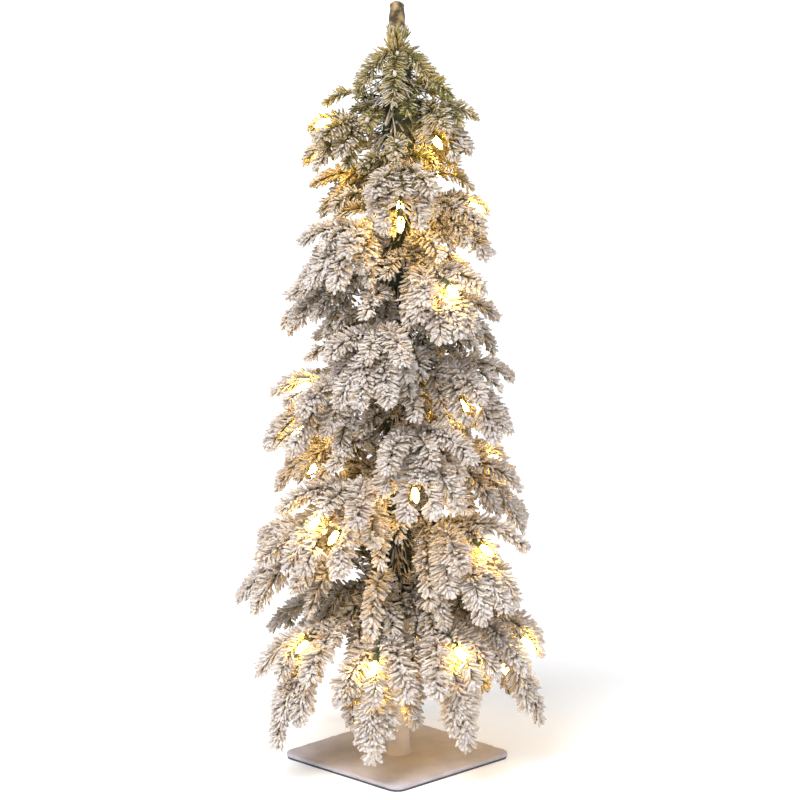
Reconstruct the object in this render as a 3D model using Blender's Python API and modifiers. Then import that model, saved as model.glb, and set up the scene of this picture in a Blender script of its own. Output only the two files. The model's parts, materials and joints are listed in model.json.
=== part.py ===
"""Flocked tabletop tree on a square steel plate, lit by a string of small lamps.

Metres, +Z up. The origin is on the floor under the middle of the plate. The tree shows its best side
towards the plate's (+X, -Y) corner. A turn is counted in degrees from that corner, anticlockwise from above.

A branch is built in a frame of its own, with x pointing away from the pole, y along the hinge and z up,
under an empty that stands on the branch's hinge.
"""

import math
from typing import NamedTuple

import bmesh
import bpy
from mathutils import Matrix, Vector

# Base
PLATE_WIDTH = 0.127
PLATE_THICKNESS = 0.003
PLATE_CORNER = 0.009
PAD_THICKNESS = 0.0012
PAD_INSET = 0.0006
CORNER_STEPS = 6

# Pole and what closes its ends
POLE_RADIUS = 0.0095
POLE_WALL = 0.0012
POLE_LENGTH = 0.551
PLUG_LENGTH = 0.022
SCREW_RADIUS = 0.003
SCREW_LENGTH = 0.018
SCREW_HEAD_RADIUS = 0.0055
SCREW_HEAD_HEIGHT = 0.0026
SCREW_CLEARANCE = 0.0004
SOCKET_LENGTH = 0.016
SOCKET_RIM = 0.0015
SOCKET_CUP_RADIUS = 0.004
SOCKET_CUP_DEPTH = 0.002
WRAP_THICKNESS = 0.0012
WRAP_BELOW_BRANCHES = 0.012

# Touching pieces keep this gap, and a branch's foot keeps more, so that it can turn
GAP = 0.0003
FOOT_GAP = 0.0005

# Branches: a skirt of narrow sprays round the bottom, and a rising spiral of wide ones
STEM_RADIUS = 0.0018
STEM_FOOT_RADIUS = 0.0006
TIP_RADIUS = 0.0095
TOP_TIP_RADIUS = 0.0078
BARE_SHARE = 0.36
SWELL_SHARE = 0.2
SIDE_STEM_RADIUS = 0.00135
SIDE_TIP_SHARE = 0.92
SIDE_YAW_SHARE = 0.75
STEEPEST_DROOP = 86.0
SIDE_SWELL_SHARE = 0.35
END_SHARE = 0.5
MAIN_STEPS = 8
SIDE_STEPS = 3

SKIRT_TURNS = (-55, -12, 34, 76, 126, 178, -130)
SKIRT_LENGTHS = (0.150, 0.138, 0.138, 0.148, 0.142, 0.142, 0.142)
SKIRT_LAUNCHES = (-6, -14, -10, -6, -8, -8, -8)
SKIRT_DROOPS = (80, 88, 86, 78, 80, 80, 80)
SKIRT_TIPS_ABOVE_PLATE = (0.0315, 0.0265, 0.0345, 0.0385, 0.0355, 0.0315, 0.0375)

SPIRAL_COUNT = 23
SPIRAL_START = -90.0
GOLDEN_TURN = 137.508
SPIRAL_ABOVE_SKIRT = 0.055
SPIRAL_BELOW_POLE_TOP = 0.018
BOTTOM_LENGTH = 0.122
TOP_LENGTH = 0.064
BOTTOM_LAUNCH = -2.0
TOP_LAUNCH = -20.0
BOTTOM_DROOP = 56.0
TOP_DROOP = 50.0
WAVER_STEP = 2.4
WAVER_START = 0.7
LENGTH_WAVER = 0.05
ANGLE_WAVER = 4.0

# Leader
LEADER_LENGTH = 0.052
LEADER_FOOT_LENGTH = 0.006
LEADER_RADIUS = 0.0085
LEADER_TIP_LENGTH = 0.013
LEADER_TIP_RADIUS = 0.0064
LEADER_WAIST_SHARE = 0.85
LEADER_SLOPE = 0.004
SPRIG_RADIUS = 0.0068

# Light string
WIRE_RADIUS = 0.0009
WIRE_CORNERS = 4
STRING_RADIUS = 0.0011
STRING_START_ABOVE_SKIRT = 0.030
STRING_END_BELOW_TOP = 0.012
STRING_STEPS = 32
STRING_TURN_FROM_FOOT = 60.0
HOLDER_RADIUS = 0.0026
HOLDER_LENGTH = 0.009
NECK_RADIUS = 0.0021
BULB_RADIUS = 0.0026
BULB_LENGTH = 0.013
LAMP_LIFT = 8.0
LEAD_STEPS = 7
LEAD_START = 0.05
LEAD_STAGGER = 0.02
ROUND_START = 0.08
ROUND_SHARE = 0.15
CLIMB_START = 0.18
CLIMB_SHARE = 0.26
BETWEEN_TIPS = 0.6


class Fork(NamedTuple):
    """A side tip: where it leaves the main stem, which way, and how it starts and ends, in shares and degrees."""

    share: float
    yaw: float
    length_share: float
    extra_droop: float
    lift: float = 0.0


class Spray(NamedTuple):
    """One branch: where its foot is, and the sweep of its main stem."""

    turn: float
    height: float
    length: float
    launch: float
    droop: float
    tip_radius: float
    forks: tuple


class Lamp(NamedTuple):
    """A lamp on a branch: its place along the stem, and its side of it (0 on top, 180 underneath)."""

    share: float
    side: float


class Sprig(NamedTuple):
    """A short tip at the leader's foot: its turn, its start above the foot, and its sweep."""

    turn: float
    rise: float
    launch: float
    droop: float
    length: float


NARROW_FORKS = (
    Fork(0.45, 24, 0.40, 2),
    Fork(0.55, -24, 0.36, 2),
    Fork(0.28, 34, 0.46, -30, 26),
    Fork(0.33, -34, 0.44, -28, 24),
)
WIDE_FORKS = (
    Fork(0.42, 32, 0.55, 6),
    Fork(0.52, -32, 0.50, 6),
    Fork(0.25, 50, 0.48, 0),
    Fork(0.34, -50, 0.46, 0),
    Fork(0.27, 38, 0.58, -16, 36),
    Fork(0.30, -38, 0.54, -16, 34),
)
SPRIGS = (
    Sprig(-125, 0.016, -30, 58, 0.048),
    Sprig(-62, 0.017, -32, 58, 0.046),
    Sprig(-5, 0.016, -30, 56, 0.050),
    Sprig(55, 0.018, -24, 54, 0.040),
    Sprig(112, 0.016, -32, 58, 0.046),
    Sprig(172, 0.017, -30, 58, 0.048),
)

# Lamps by branch number
LAMPS = {
    1: (Lamp(0.45, 25),),
    2: (Lamp(0.45, 0), Lamp(0.52, 180)),
    3: (Lamp(0.45, 0),),
    4: (Lamp(0.55, 0), Lamp(0.58, 160)),
    6: (Lamp(0.50, 0), Lamp(0.58, 180)),
    9: (Lamp(0.55, 0),),
    11: (Lamp(0.65, 0), Lamp(0.55, 180)),
    12: (Lamp(0.45, 0), Lamp(0.60, 174)),
    13: (Lamp(0.50, 0), Lamp(0.62, 180)),
    14: (Lamp(0.65, -155),),
    15: (Lamp(0.50, 0), Lamp(0.62, 180)),
    16: (Lamp(0.45, 0), Lamp(0.65, -155)),
    17: (Lamp(0.45, -155),),
    18: (Lamp(0.50, 0), Lamp(0.62, 180)),
    22: (Lamp(0.55, 0),),
    23: (Lamp(0.50, 0), Lamp(0.62, 180)),
    25: (Lamp(0.45, 0), Lamp(0.60, 174)),
    27: (Lamp(0.46, 180), Lamp(0.68, 180)),
    28: (Lamp(0.50, 0), Lamp(0.62, 180)),
    29: (Lamp(0.42, 0), Lamp(0.65, 172)),
    30: (Lamp(0.45, -155),),
}

# Worked out from the sizes above
DISPLAY_ANGLE = -45.0
PLATE_BOTTOM = PAD_THICKNESS + GAP
PLATE_TOP = PLATE_BOTTOM + PLATE_THICKNESS
POLE_BOTTOM = PLATE_TOP + GAP
POLE_TOP = POLE_BOTTOM + POLE_LENGTH
PLUG_RADIUS = POLE_RADIUS - POLE_WALL - GAP
WRAP_INNER = POLE_RADIUS + GAP
WRAP_OUTER = WRAP_INNER + WRAP_THICKNESS
FOOT_RADIUS = WRAP_OUTER + FOOT_GAP


def clear_scene():
    """Remove everything that the file opened with."""
    for obj in list(bpy.data.objects):
        bpy.data.objects.remove(obj, do_unlink=True)


def make_collection(name):
    """A new collection in the scene."""
    collection = bpy.data.collections.new(name)
    bpy.context.scene.collection.children.link(collection)
    return collection


def make_material(name, colour, roughness, metallic=0.0):
    """A plain Principled finish."""
    material = bpy.data.materials.new(name)
    material.use_nodes = True
    shader = material.node_tree.nodes["Principled BSDF"]
    shader.inputs["Base Color"].default_value = (*colour, 1.0)
    shader.inputs["Roughness"].default_value = roughness
    shader.inputs["Metallic"].default_value = metallic
    return material


def add(name, data, collection, material=None, parent=None):
    """An object that holds the data, in the collection and under the parent."""
    obj = bpy.data.objects.new(name, data)
    collection.objects.link(obj)
    obj.parent = parent
    if material:
        data.materials.clear()
        data.materials.append(material)
    return obj


def smooth(mesh):
    """Shade the round faces smooth and keep the edges crisp."""
    mesh.shade_smooth()
    mesh.set_sharp_from_angle(angle=math.radians(40))


def as_mesh(obj):
    """A closed mesh of what a curve or a modified object makes, in its own frame. The object is removed."""
    graph = bpy.context.evaluated_depsgraph_get()
    mesh = bpy.data.meshes.new_from_object(obj.evaluated_get(graph))
    bpy.data.objects.remove(obj, do_unlink=True)
    shell = bmesh.new()
    shell.from_mesh(mesh)
    bmesh.ops.remove_doubles(shell, verts=shell.verts, dist=1e-6)
    bmesh.ops.recalc_face_normals(shell, faces=shell.faces)
    shell.to_mesh(mesh)
    shell.free()
    return mesh


def cut(obj, other):
    """Cut the other object from this one."""
    modifier = obj.modifiers.new(other.name, "BOOLEAN")
    modifier.operation = "DIFFERENCE"
    modifier.object = other
    other.hide_render = True
    other.display_type = "WIRE"


def fuse(name, meshes, helpers):
    """One mesh that joins overlapping closed meshes."""
    if len(meshes) == 1:
        return meshes[0]
    body = add(name, meshes[0], helpers)
    others = bpy.data.collections.new(f"{name}_others")
    joined = [add(f"{name}_{number}", mesh, others) for number, mesh in enumerate(meshes[1:], 1)]
    modifier = body.modifiers.new("Join", "BOOLEAN")
    modifier.operation = "UNION"
    modifier.operand_type = "COLLECTION"
    modifier.collection = others
    mesh = as_mesh(body)
    for other in joined:
        bpy.data.objects.remove(other, do_unlink=True)
    bpy.data.collections.remove(others)
    return mesh


def turned(name, profile, collection, material, steps=24):
    """A turned piece. Its profile of (radius, height) runs down the outer side, then up the inner one."""
    mesh = bpy.data.meshes.new(name)
    count = len(profile)
    closed = profile[0][0] > 0
    edges = [(i, (i + 1) % count) for i in range(count if closed else count - 1)]
    mesh.from_pydata([(radius, 0.0, height) for radius, height in profile], edges, [])
    obj = add(name, mesh, collection, material)
    screw = obj.modifiers.new("Turn", "SCREW")
    screw.steps = steps
    screw.render_steps = steps
    screw.use_merge_vertices = True
    screw.merge_threshold = 1e-6
    return obj


def tube(name, points, radii, collection, corners=6):
    """A rod along the points, with its own radius at each one and this many corners round it."""
    thickest = max(radii)
    curve = bpy.data.curves.new(name, "CURVE")
    curve.dimensions = "3D"
    curve.bevel_depth = thickest
    curve.bevel_resolution = corners // 2 - 2
    curve.use_fill_caps = True
    spline = curve.splines.new("POLY")
    spline.points.add(len(points) - 1)
    for control, point, radius in zip(spline.points, points, radii):
        control.co = (*point, 1.0)
        control.radius = radius / thickest
    return add(name, curve, collection)


def rounded_square(name, width, corner, bottom, thickness, collection):
    """A flat square with round corners, from its underside at the height given."""
    curve = bpy.data.curves.new(name, "CURVE")
    curve.dimensions = "2D"
    curve.fill_mode = "BOTH"
    curve.extrude = thickness / 2
    centre = width / 2 - corner
    points = []
    for quarter in range(4):
        middle = Matrix.Rotation(math.radians(90 * quarter), 2) @ Vector((centre, centre))
        for step in range(CORNER_STEPS + 1):
            angle = math.radians(90 * (quarter + step / CORNER_STEPS))
            points.append(middle + corner * Vector((math.cos(angle), math.sin(angle))))
    spline = curve.splines.new("POLY")
    spline.points.add(len(points) - 1)
    spline.use_cyclic_u = True
    for control, point in zip(spline.points, points):
        control.co = (*point, 0.0, 1.0)
    obj = add(name, curve, collection)
    obj.location.z = bottom + thickness / 2
    return obj


def settle(obj, collection, material):
    """Turn a placed curve into a mesh object of the same name, in its place."""
    name = obj.name
    bpy.context.view_layer.update()
    place = obj.matrix_world.copy()
    mesh = as_mesh(obj)
    settled = add(name, mesh, collection, material)
    settled.matrix_world = place
    return settled


def heading(yaw, pitch):
    """The unit vector at this yaw from x and this pitch above the floor, in degrees."""
    level = math.cos(math.radians(pitch))
    side = math.radians(yaw)
    return Vector((level * math.cos(side), level * math.sin(side), math.sin(math.radians(pitch))))


def sweep(start, first, last, length, steps):
    """Points along a stem whose direction turns evenly from first to last."""
    points = [start.copy()]
    for step in range(steps):
        direction = first.lerp(last, (step + 0.5) / steps).normalized()
        points.append(points[-1] + direction * length / steps)
    return points


def main_stem(spray):
    """The middle line of a branch's main stem, from its foot."""
    return sweep(Vector(), heading(0, spray.launch), heading(0, -spray.droop), spray.length, MAIN_STEPS)


def at_share(points, share):
    """The point, and the direction, at this share of a line's length."""
    place = min(share, 0.999) * (len(points) - 1)
    index = int(place)
    step = points[index + 1] - points[index]
    return points[index] + step * (place - index), step.normalized()


def pitch_of(direction):
    """Degrees above the floor."""
    return math.degrees(math.asin(direction.z))


def swell(share, start, rise):
    """0 before the start, 1 once the rise is over, and a straight slope between."""
    return min(max((share - start) / rise, 0.0), 1.0)


def main_radii(spray):
    """A thin foot, a bare stem, then the width of the needles, with a rounded end."""
    radii = [STEM_FOOT_RADIUS]
    for step in range(1, MAIN_STEPS + 1):
        needles = spray.tip_radius * swell(step / MAIN_STEPS, BARE_SHARE, SWELL_SHARE)
        radii.append(max(STEM_RADIUS, needles))
    radii[-1] *= END_SHARE
    return radii


def side_tip(spray, fork, stem):
    """The middle line of a side tip, which leaves the main stem at its fork."""
    start, direction = at_share(stem, fork.share)
    first = heading(fork.yaw, pitch_of(direction) + fork.lift)
    last = heading(SIDE_YAW_SHARE * fork.yaw, -min(STEEPEST_DROOP, spray.droop + fork.extra_droop))
    return sweep(start, first, last, spray.length * fork.length_share, SIDE_STEPS)


def side_radii(tip_radius):
    """As wide as the stem at the fork, then the width of the needles, with a rounded end."""
    radii = []
    for step in range(SIDE_STEPS + 1):
        needles = SIDE_TIP_SHARE * tip_radius * swell(step / SIDE_STEPS, 0.0, SIDE_SWELL_SHARE)
        radii.append(max(SIDE_STEM_RADIUS, needles))
    radii[-1] *= END_SHARE
    return radii


def skirt_sprays():
    """The narrow sprays round the bottom. Each foot stands as high above the plate as its tip needs."""
    sprays = []
    rows = zip(SKIRT_TURNS, SKIRT_LENGTHS, SKIRT_LAUNCHES, SKIRT_DROOPS, SKIRT_TIPS_ABOVE_PLATE)
    for turn, length, launch, droop, tip_above_plate in rows:
        hanging = Spray(turn, 0.0, length, launch, droop, TIP_RADIUS, NARROW_FORKS)
        drop = main_stem(hanging)[-1].z
        sprays.append(hanging._replace(height=PLATE_TOP + tip_above_plate - drop))
    return sprays


def spiral_sprays(first_height, last_height):
    """The wide sprays, which get shorter and steeper as they climb, with a little waver from one to the next."""
    sprays = []
    for number in range(SPIRAL_COUNT):
        rise = number / (SPIRAL_COUNT - 1)
        waver = math.sin(number * WAVER_STEP + WAVER_START)
        length = BOTTOM_LENGTH + (TOP_LENGTH - BOTTOM_LENGTH) * rise
        launch = BOTTOM_LAUNCH + (TOP_LAUNCH - BOTTOM_LAUNCH) * rise
        droop = BOTTOM_DROOP + (TOP_DROOP - BOTTOM_DROOP) * rise
        sprays.append(
            Spray(
                turn=SPIRAL_START + GOLDEN_TURN * number,
                height=first_height + (last_height - first_height) * rise,
                length=length * (1 + LENGTH_WAVER * waver),
                launch=launch + ANGLE_WAVER * waver,
                droop=droop - ANGLE_WAVER * waver,
                tip_radius=TIP_RADIUS + (TOP_TIP_RADIUS - TIP_RADIUS) * rise,
                forks=WIDE_FORKS,
            )
        )
    return sprays


def add_hinge(number, spray, collection):
    """The empty on a branch's hinge, where the stem leaves the wrap. Its x axis points away from the pole."""
    angle = math.radians(DISPLAY_ANGLE + spray.turn)
    hinge = add(f"hinge_{number:02d}", None, collection)
    hinge.empty_display_size = 0.01
    hinge.location = (FOOT_RADIUS * math.cos(angle), FOOT_RADIUS * math.sin(angle), spray.height)
    hinge.rotation_euler.z = angle
    return hinge


def add_branch(number, spray, hinge, collection, helpers, material):
    """A twisted stem with its needle tips, as one closed body."""
    name = f"branch_{number:02d}"
    stem = main_stem(spray)
    meshes = [as_mesh(tube(f"{name}_stem", stem, main_radii(spray), helpers))]
    for fork in spray.forks:
        line = side_tip(spray, fork, stem)
        meshes.append(as_mesh(tube(f"{name}_tip", line, side_radii(spray.tip_radius), helpers)))
    mesh = fuse(f"{name}_fused", meshes, helpers)
    smooth(mesh)
    add(name, mesh, collection, material, hinge)


def lead_line(spray, lamp, stem, start):
    """The wire's middle line: from its start by the foot, round to the lamp's side and out over the needles."""
    close = STEM_RADIUS + WIRE_RADIUS + 4 * GAP
    sideways = abs(math.sin(math.radians(lamp.side)))
    clear = spray.tip_radius * (1 + BETWEEN_TIPS * sideways) + HOLDER_RADIUS + 2 * GAP
    points = []
    for step in range(LEAD_STEPS + 1):
        share = start + (lamp.share - start) * step / LEAD_STEPS
        middle, direction = at_share(stem, share)
        side = math.radians(lamp.side * swell(share, ROUND_START, ROUND_SHARE))
        above = Vector((-direction.z, 0.0, direction.x))
        away = math.cos(side) * above + math.sin(side) * Vector((0.0, 1.0, 0.0))
        climb = swell(share, CLIMB_START, CLIMB_SHARE)
        points.append(middle + away * (close + (clear - close) * climb))
    return points, away, direction


def lamp_line(start, direction):
    """Points and radii along a lamp: its holder, its neck and its bulb."""
    outline = (
        (0.0015, HOLDER_RADIUS),
        (HOLDER_LENGTH, HOLDER_RADIUS),
        (HOLDER_LENGTH + 0.0006, NECK_RADIUS),
        (HOLDER_LENGTH + 0.3 * BULB_LENGTH, BULB_RADIUS),
        (HOLDER_LENGTH + 0.7 * BULB_LENGTH, 0.9 * BULB_RADIUS),
        (HOLDER_LENGTH + BULB_LENGTH, 0.3 * BULB_RADIUS),
    )
    return [start + direction * along for along, _ in outline], [radius for _, radius in outline]


def add_lead(number, spray, lamps, hinge, collection, helpers, material):
    """The part of the light string that a branch carries: its wires and lamps, as one closed body."""
    name = f"light_lead_{number:02d}"
    stem = main_stem(spray)
    meshes = []
    for place, lamp in enumerate(lamps):
        wire, away, direction = lead_line(spray, lamp, stem, LEAD_START + LEAD_STAGGER * place)
        lift = math.radians(LAMP_LIFT)
        aim = math.cos(lift) * direction + math.sin(lift) * away
        points, radii = lamp_line(wire[-1], aim)
        radii = [WIRE_RADIUS] * len(wire) + radii
        meshes.append(as_mesh(tube(f"{name}_lamp", wire + points, radii, helpers, WIRE_CORNERS)))
    mesh = fuse(f"{name}_fused", meshes, helpers)
    smooth(mesh)
    add(name, mesh, collection, material, hinge)


def add_base(collection, helpers):
    """The plate, the pad under it, and the screw up into the pole's plug."""
    steel = make_material("flocked_steel", (0.74, 0.70, 0.67), 0.85)
    felt = make_material("pad_foam", (0.05, 0.05, 0.055), 0.9)
    zinc = make_material("zinc_screw", (0.62, 0.62, 0.60), 0.35, 1.0)
    pad_width = PLATE_WIDTH - 2 * PAD_INSET
    pad = rounded_square("base_pad", pad_width, PLATE_CORNER - PAD_INSET, 0.0, PAD_THICKNESS, collection)
    settle(pad, collection, felt)
    plate = rounded_square(
        "base_plate", PLATE_WIDTH, PLATE_CORNER, PLATE_BOTTOM, PLATE_THICKNESS, collection
    )
    plate = settle(plate, collection, steel)
    sink_radius = SCREW_HEAD_RADIUS + SCREW_CLEARANCE
    hole_radius = SCREW_RADIUS + SCREW_CLEARANCE
    sink_top = PLATE_BOTTOM + SCREW_HEAD_HEIGHT
    hole_profile = (
        (0.0, PLATE_TOP + 0.001),
        (hole_radius, PLATE_TOP + 0.001),
        (hole_radius, sink_top),
        (sink_radius, PLATE_BOTTOM),
        (sink_radius, PLATE_BOTTOM - 0.001),
        (0.0, PLATE_BOTTOM - 0.001),
    )
    hole = turned("plate_hole", hole_profile, helpers, None)
    cut(plate, hole)
    screw_profile = (
        (0.0, PLATE_BOTTOM + SCREW_LENGTH),
        (SCREW_RADIUS - 0.0006, PLATE_BOTTOM + SCREW_LENGTH),
        (SCREW_RADIUS, PLATE_BOTTOM + SCREW_LENGTH - 0.0006),
        (SCREW_RADIUS, sink_top),
        (SCREW_HEAD_RADIUS, PLATE_BOTTOM + 0.0002),
        (SCREW_HEAD_RADIUS, PLATE_BOTTOM),
        (0.0, PLATE_BOTTOM),
    )
    turned("base_screw", screw_profile, collection, zinc)


def tube_profile(outer, inner, bottom, top):
    """The cut face of a plain pipe."""
    return ((outer, top), (outer, bottom), (inner, bottom), (inner, top))


def add_pole(collection, wrap_bottom):
    """The steel pole, the plugs in its two ends, and the tape wrapped round it over the branches' feet."""
    steel = make_material("flocked_pole", (0.76, 0.72, 0.69), 0.8)
    plastic = make_material("plug_plastic", (0.10, 0.10, 0.10), 0.5)
    tape = make_material("green_tape", (0.10, 0.14, 0.07), 0.7)
    turned("pole", tube_profile(POLE_RADIUS, POLE_RADIUS - POLE_WALL, POLE_BOTTOM, POLE_TOP), collection, steel)
    bore = SCREW_RADIUS + SCREW_CLEARANCE
    plug = tube_profile(PLUG_RADIUS, bore, POLE_BOTTOM, POLE_BOTTOM + PLUG_LENGTH)
    turned("pole_plug", plug, collection, plastic)
    rim_bottom = POLE_TOP + GAP
    rim_top = rim_bottom + SOCKET_RIM
    socket_profile = (
        (0.0, rim_top - SOCKET_CUP_DEPTH),
        (SOCKET_CUP_RADIUS, rim_top),
        (POLE_RADIUS, rim_top),
        (POLE_RADIUS, rim_bottom),
        (PLUG_RADIUS, rim_bottom),
        (PLUG_RADIUS, POLE_TOP - SOCKET_LENGTH),
        (0.0, POLE_TOP - SOCKET_LENGTH),
    )
    turned("leader_socket", socket_profile, collection, plastic)
    turned("trunk_wrap", tube_profile(WRAP_OUTER, WRAP_INNER, wrap_bottom, POLE_TOP), collection, tape)
    return rim_top


def add_leader(foot_height, collection, helpers, material):
    """The upright shoot at the top: a wire foot, a needled length and a bare twisted end."""
    hinge = add("hinge_leader", None, collection)
    hinge.empty_display_size = 0.01
    hinge.location.z = foot_height
    hinge.rotation_euler.z = math.radians(DISPLAY_ANGLE)
    needled = LEADER_LENGTH - LEADER_TIP_LENGTH
    outline = (
        (0.0, STEM_FOOT_RADIUS),
        (STEM_RADIUS, STEM_RADIUS),
        (LEADER_FOOT_LENGTH, STEM_RADIUS),
        (LEADER_FOOT_LENGTH + LEADER_SLOPE, LEADER_RADIUS),
        (needled - LEADER_SLOPE, LEADER_WAIST_SHARE * LEADER_RADIUS),
        (needled, LEADER_TIP_RADIUS),
        (LEADER_LENGTH - LEADER_SLOPE, LEADER_TIP_RADIUS),
        (LEADER_LENGTH, END_SHARE * LEADER_TIP_RADIUS),
    )
    points = [Vector((0.0, 0.0, height)) for height, _ in outline]
    meshes = [as_mesh(tube("leader_rod", points, [radius for _, radius in outline], helpers, 8))]
    for sprig in SPRIGS:
        first = heading(sprig.turn, sprig.launch)
        last = heading(sprig.turn, -sprig.droop)
        line = sweep(Vector((0.0, 0.0, sprig.rise)), first, last, sprig.length, SIDE_STEPS)
        meshes.append(as_mesh(tube("leader_sprig", line, side_radii(SPRIG_RADIUS), helpers)))
    mesh = fuse("leader_fused", meshes, helpers)
    smooth(mesh)
    add("leader", mesh, collection, material, hinge)


def add_trunk_string(first, last, collection, helpers, material):
    """The light string's run up the pole. It climbs with the spiral, half way between two rows of feet."""
    spacing = (last - first) / (SPIRAL_COUNT - 1)
    top = POLE_TOP - STRING_END_BELOW_TOP
    row_turn = 3 * GOLDEN_TURN - 360
    climb = row_turn / (3 * spacing)
    bottom = first - (SPIRAL_ABOVE_SKIRT - STRING_START_ABOVE_SKIRT)
    radius = WRAP_OUTER + STRING_RADIUS + GAP
    points = []
    for step in range(STRING_STEPS + 1):
        height = bottom + (top - bottom) * step / STRING_STEPS
        turn = DISPLAY_ANGLE + SPIRAL_START + STRING_TURN_FROM_FOOT + climb * (height - first)
        angle = math.radians(turn)
        points.append(Vector((radius * math.cos(angle), radius * math.sin(angle), height)))
    radii = [STRING_RADIUS] * len(points)
    mesh = as_mesh(tube("string_line", points, radii, helpers, WIRE_CORNERS))
    smooth(mesh)
    add("light_string_trunk", mesh, collection, material)


def main():
    """Build the tree."""
    clear_scene()
    tree = make_collection("tabletop_tree")
    helpers = make_collection("cutters")
    needles = make_material("flocked_needles", (0.80, 0.77, 0.75), 0.9)
    wire = make_material("green_wire", (0.16, 0.22, 0.10), 0.5)

    skirt = skirt_sprays()
    skirt_height = sum(spray.height for spray in skirt) / len(skirt)
    first = skirt_height + SPIRAL_ABOVE_SKIRT
    last = POLE_TOP - SPIRAL_BELOW_POLE_TOP
    sprays = skirt + spiral_sprays(first, last)

    add_base(tree, helpers)
    wrap_bottom = min(spray.height for spray in skirt) - WRAP_BELOW_BRANCHES
    rim_top = add_pole(tree, wrap_bottom)
    add_leader(rim_top, tree, helpers, needles)
    add_trunk_string(first, last, tree, helpers, wire)
    for number, spray in enumerate(sprays, 1):
        hinge = add_hinge(number, spray, tree)
        add_branch(number, spray, hinge, tree, helpers, needles)
        if number in LAMPS:
            add_lead(number, spray, LAMPS[number], hinge, tree, helpers, wire)


main()
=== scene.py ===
"""Looks of the flocked tabletop tree: sprays of needles, a string of lit lamps, a flocked pole and plate.

Metres, +Z up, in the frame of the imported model. The tree shows its best side towards the plate's (+X, -Y)
corner. A branch is laid out in a frame of its own, with x pointing away from the pole, y along the hinge and
z up, and is then put in its place.
"""

import json
import logging
import math
from dataclasses import dataclass, field
from enum import Enum

import bmesh
import bpy
import numpy as np
from mathutils import Matrix, Vector, noise
from mathutils.kdtree import KDTree


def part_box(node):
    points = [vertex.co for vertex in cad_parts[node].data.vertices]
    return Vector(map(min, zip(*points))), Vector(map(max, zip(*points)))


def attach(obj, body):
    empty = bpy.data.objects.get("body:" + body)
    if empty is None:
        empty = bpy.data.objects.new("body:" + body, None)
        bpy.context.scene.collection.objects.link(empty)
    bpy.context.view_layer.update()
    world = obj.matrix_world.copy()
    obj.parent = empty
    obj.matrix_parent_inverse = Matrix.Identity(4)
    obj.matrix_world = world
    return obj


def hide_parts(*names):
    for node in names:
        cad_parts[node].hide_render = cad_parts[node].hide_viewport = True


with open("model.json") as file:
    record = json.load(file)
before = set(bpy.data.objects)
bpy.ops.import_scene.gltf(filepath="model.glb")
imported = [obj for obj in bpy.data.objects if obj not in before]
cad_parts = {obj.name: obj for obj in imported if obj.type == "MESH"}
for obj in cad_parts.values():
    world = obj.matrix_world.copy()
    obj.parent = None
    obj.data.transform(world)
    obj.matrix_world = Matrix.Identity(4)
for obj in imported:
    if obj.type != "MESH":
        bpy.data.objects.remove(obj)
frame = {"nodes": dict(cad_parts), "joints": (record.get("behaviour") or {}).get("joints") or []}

LOG = logging.getLogger("tree")

# Sizes, in metres and degrees, that the looks share with the CAD
GAP = 0.0003
PLATE_WIDTH = 0.127
PLATE_CORNER = 0.009
STEM_RADIUS = 0.0018
TIP_RADIUS = 0.0095
TOP_TIP_RADIUS = 0.0078
WIRE_RADIUS = 0.0009
HOLDER_RADIUS = 0.0026
HOLDER_LENGTH = 0.009
BULB_LENGTH = 0.013
WRAP_RADIUS = 0.0110
SKIRT_COUNT = 7
SPIRAL_COUNT = 23
FIRST_SPIRAL_HEIGHT = 0.1867
LAST_SPIRAL_HEIGHT = 0.5378
GOLDEN_TURN = 137.508
BOTTOM_LENGTH, TOP_LENGTH = 0.122, 0.064
BOTTOM_LAUNCH, TOP_LAUNCH = -2.0, -20.0
BOTTOM_DROOP, TOP_DROOP = 56.0, 50.0
LENGTH_WAVER = 0.05
ANGLE_WAVER = 4.0
SKIRT_LENGTHS = (0.150, 0.138, 0.138, 0.148, 0.142, 0.142, 0.142)
SKIRT_LAUNCHES = (-6, -14, -10, -6, -8, -8, -8)
SKIRT_DROOPS = (80, 88, 86, 78, 80, 80, 80)
DISPLAY_SIDE = Vector((math.sqrt(0.5), -math.sqrt(0.5), 0.0))

# How the flock thins out and the needles turn tan towards the crown
CROWN_START = 0.40
CROWN_RISE = 0.14
CROWN_FROST_LOSS = 0.72
CROWN_TONE = 0.6
CROWN_CLUMP_LOSS = 0.85

# How needles grow on every stem
TOP_ROLL = 1.25
SIDE_ROLL = math.radians(96)
SIDE_ROLL_JITTER = 0.42
LEAN_JITTER = 8.0
NEEDLE_SAG = 0.06
NEEDLE_FOOT = 0.0005
UPRIGHT_FOOT = 0.0036
FROST_JITTER = 0.15
FROST_REACH = 0.075
THIN_BELOW_FROST = 0.45
THIN_WIDTH = 0.78
SPINE_CLUMP_LIFT = 0.0022

# The room that needles leave in front of a bulb
WAY_RADIUS = 0.0078
WAY_STEP = 0.007
WAY_CLIMB = 0.32


class Place(Enum):
    """What a seat on a stem carries."""

    NEEDLE = 0
    CLUMP = 1


class Slot(Enum):
    """The record's material slots for the looks' own pieces, listed here but not given to them."""

    NEEDLES = "flocked_needles"
    LEADER = "green_needles"
    STRING = "light_string"
    PLATE = "flocked_plate"
    POLE = "flocked_pole"


# ---------------------------------------------------------------- node trees


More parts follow.
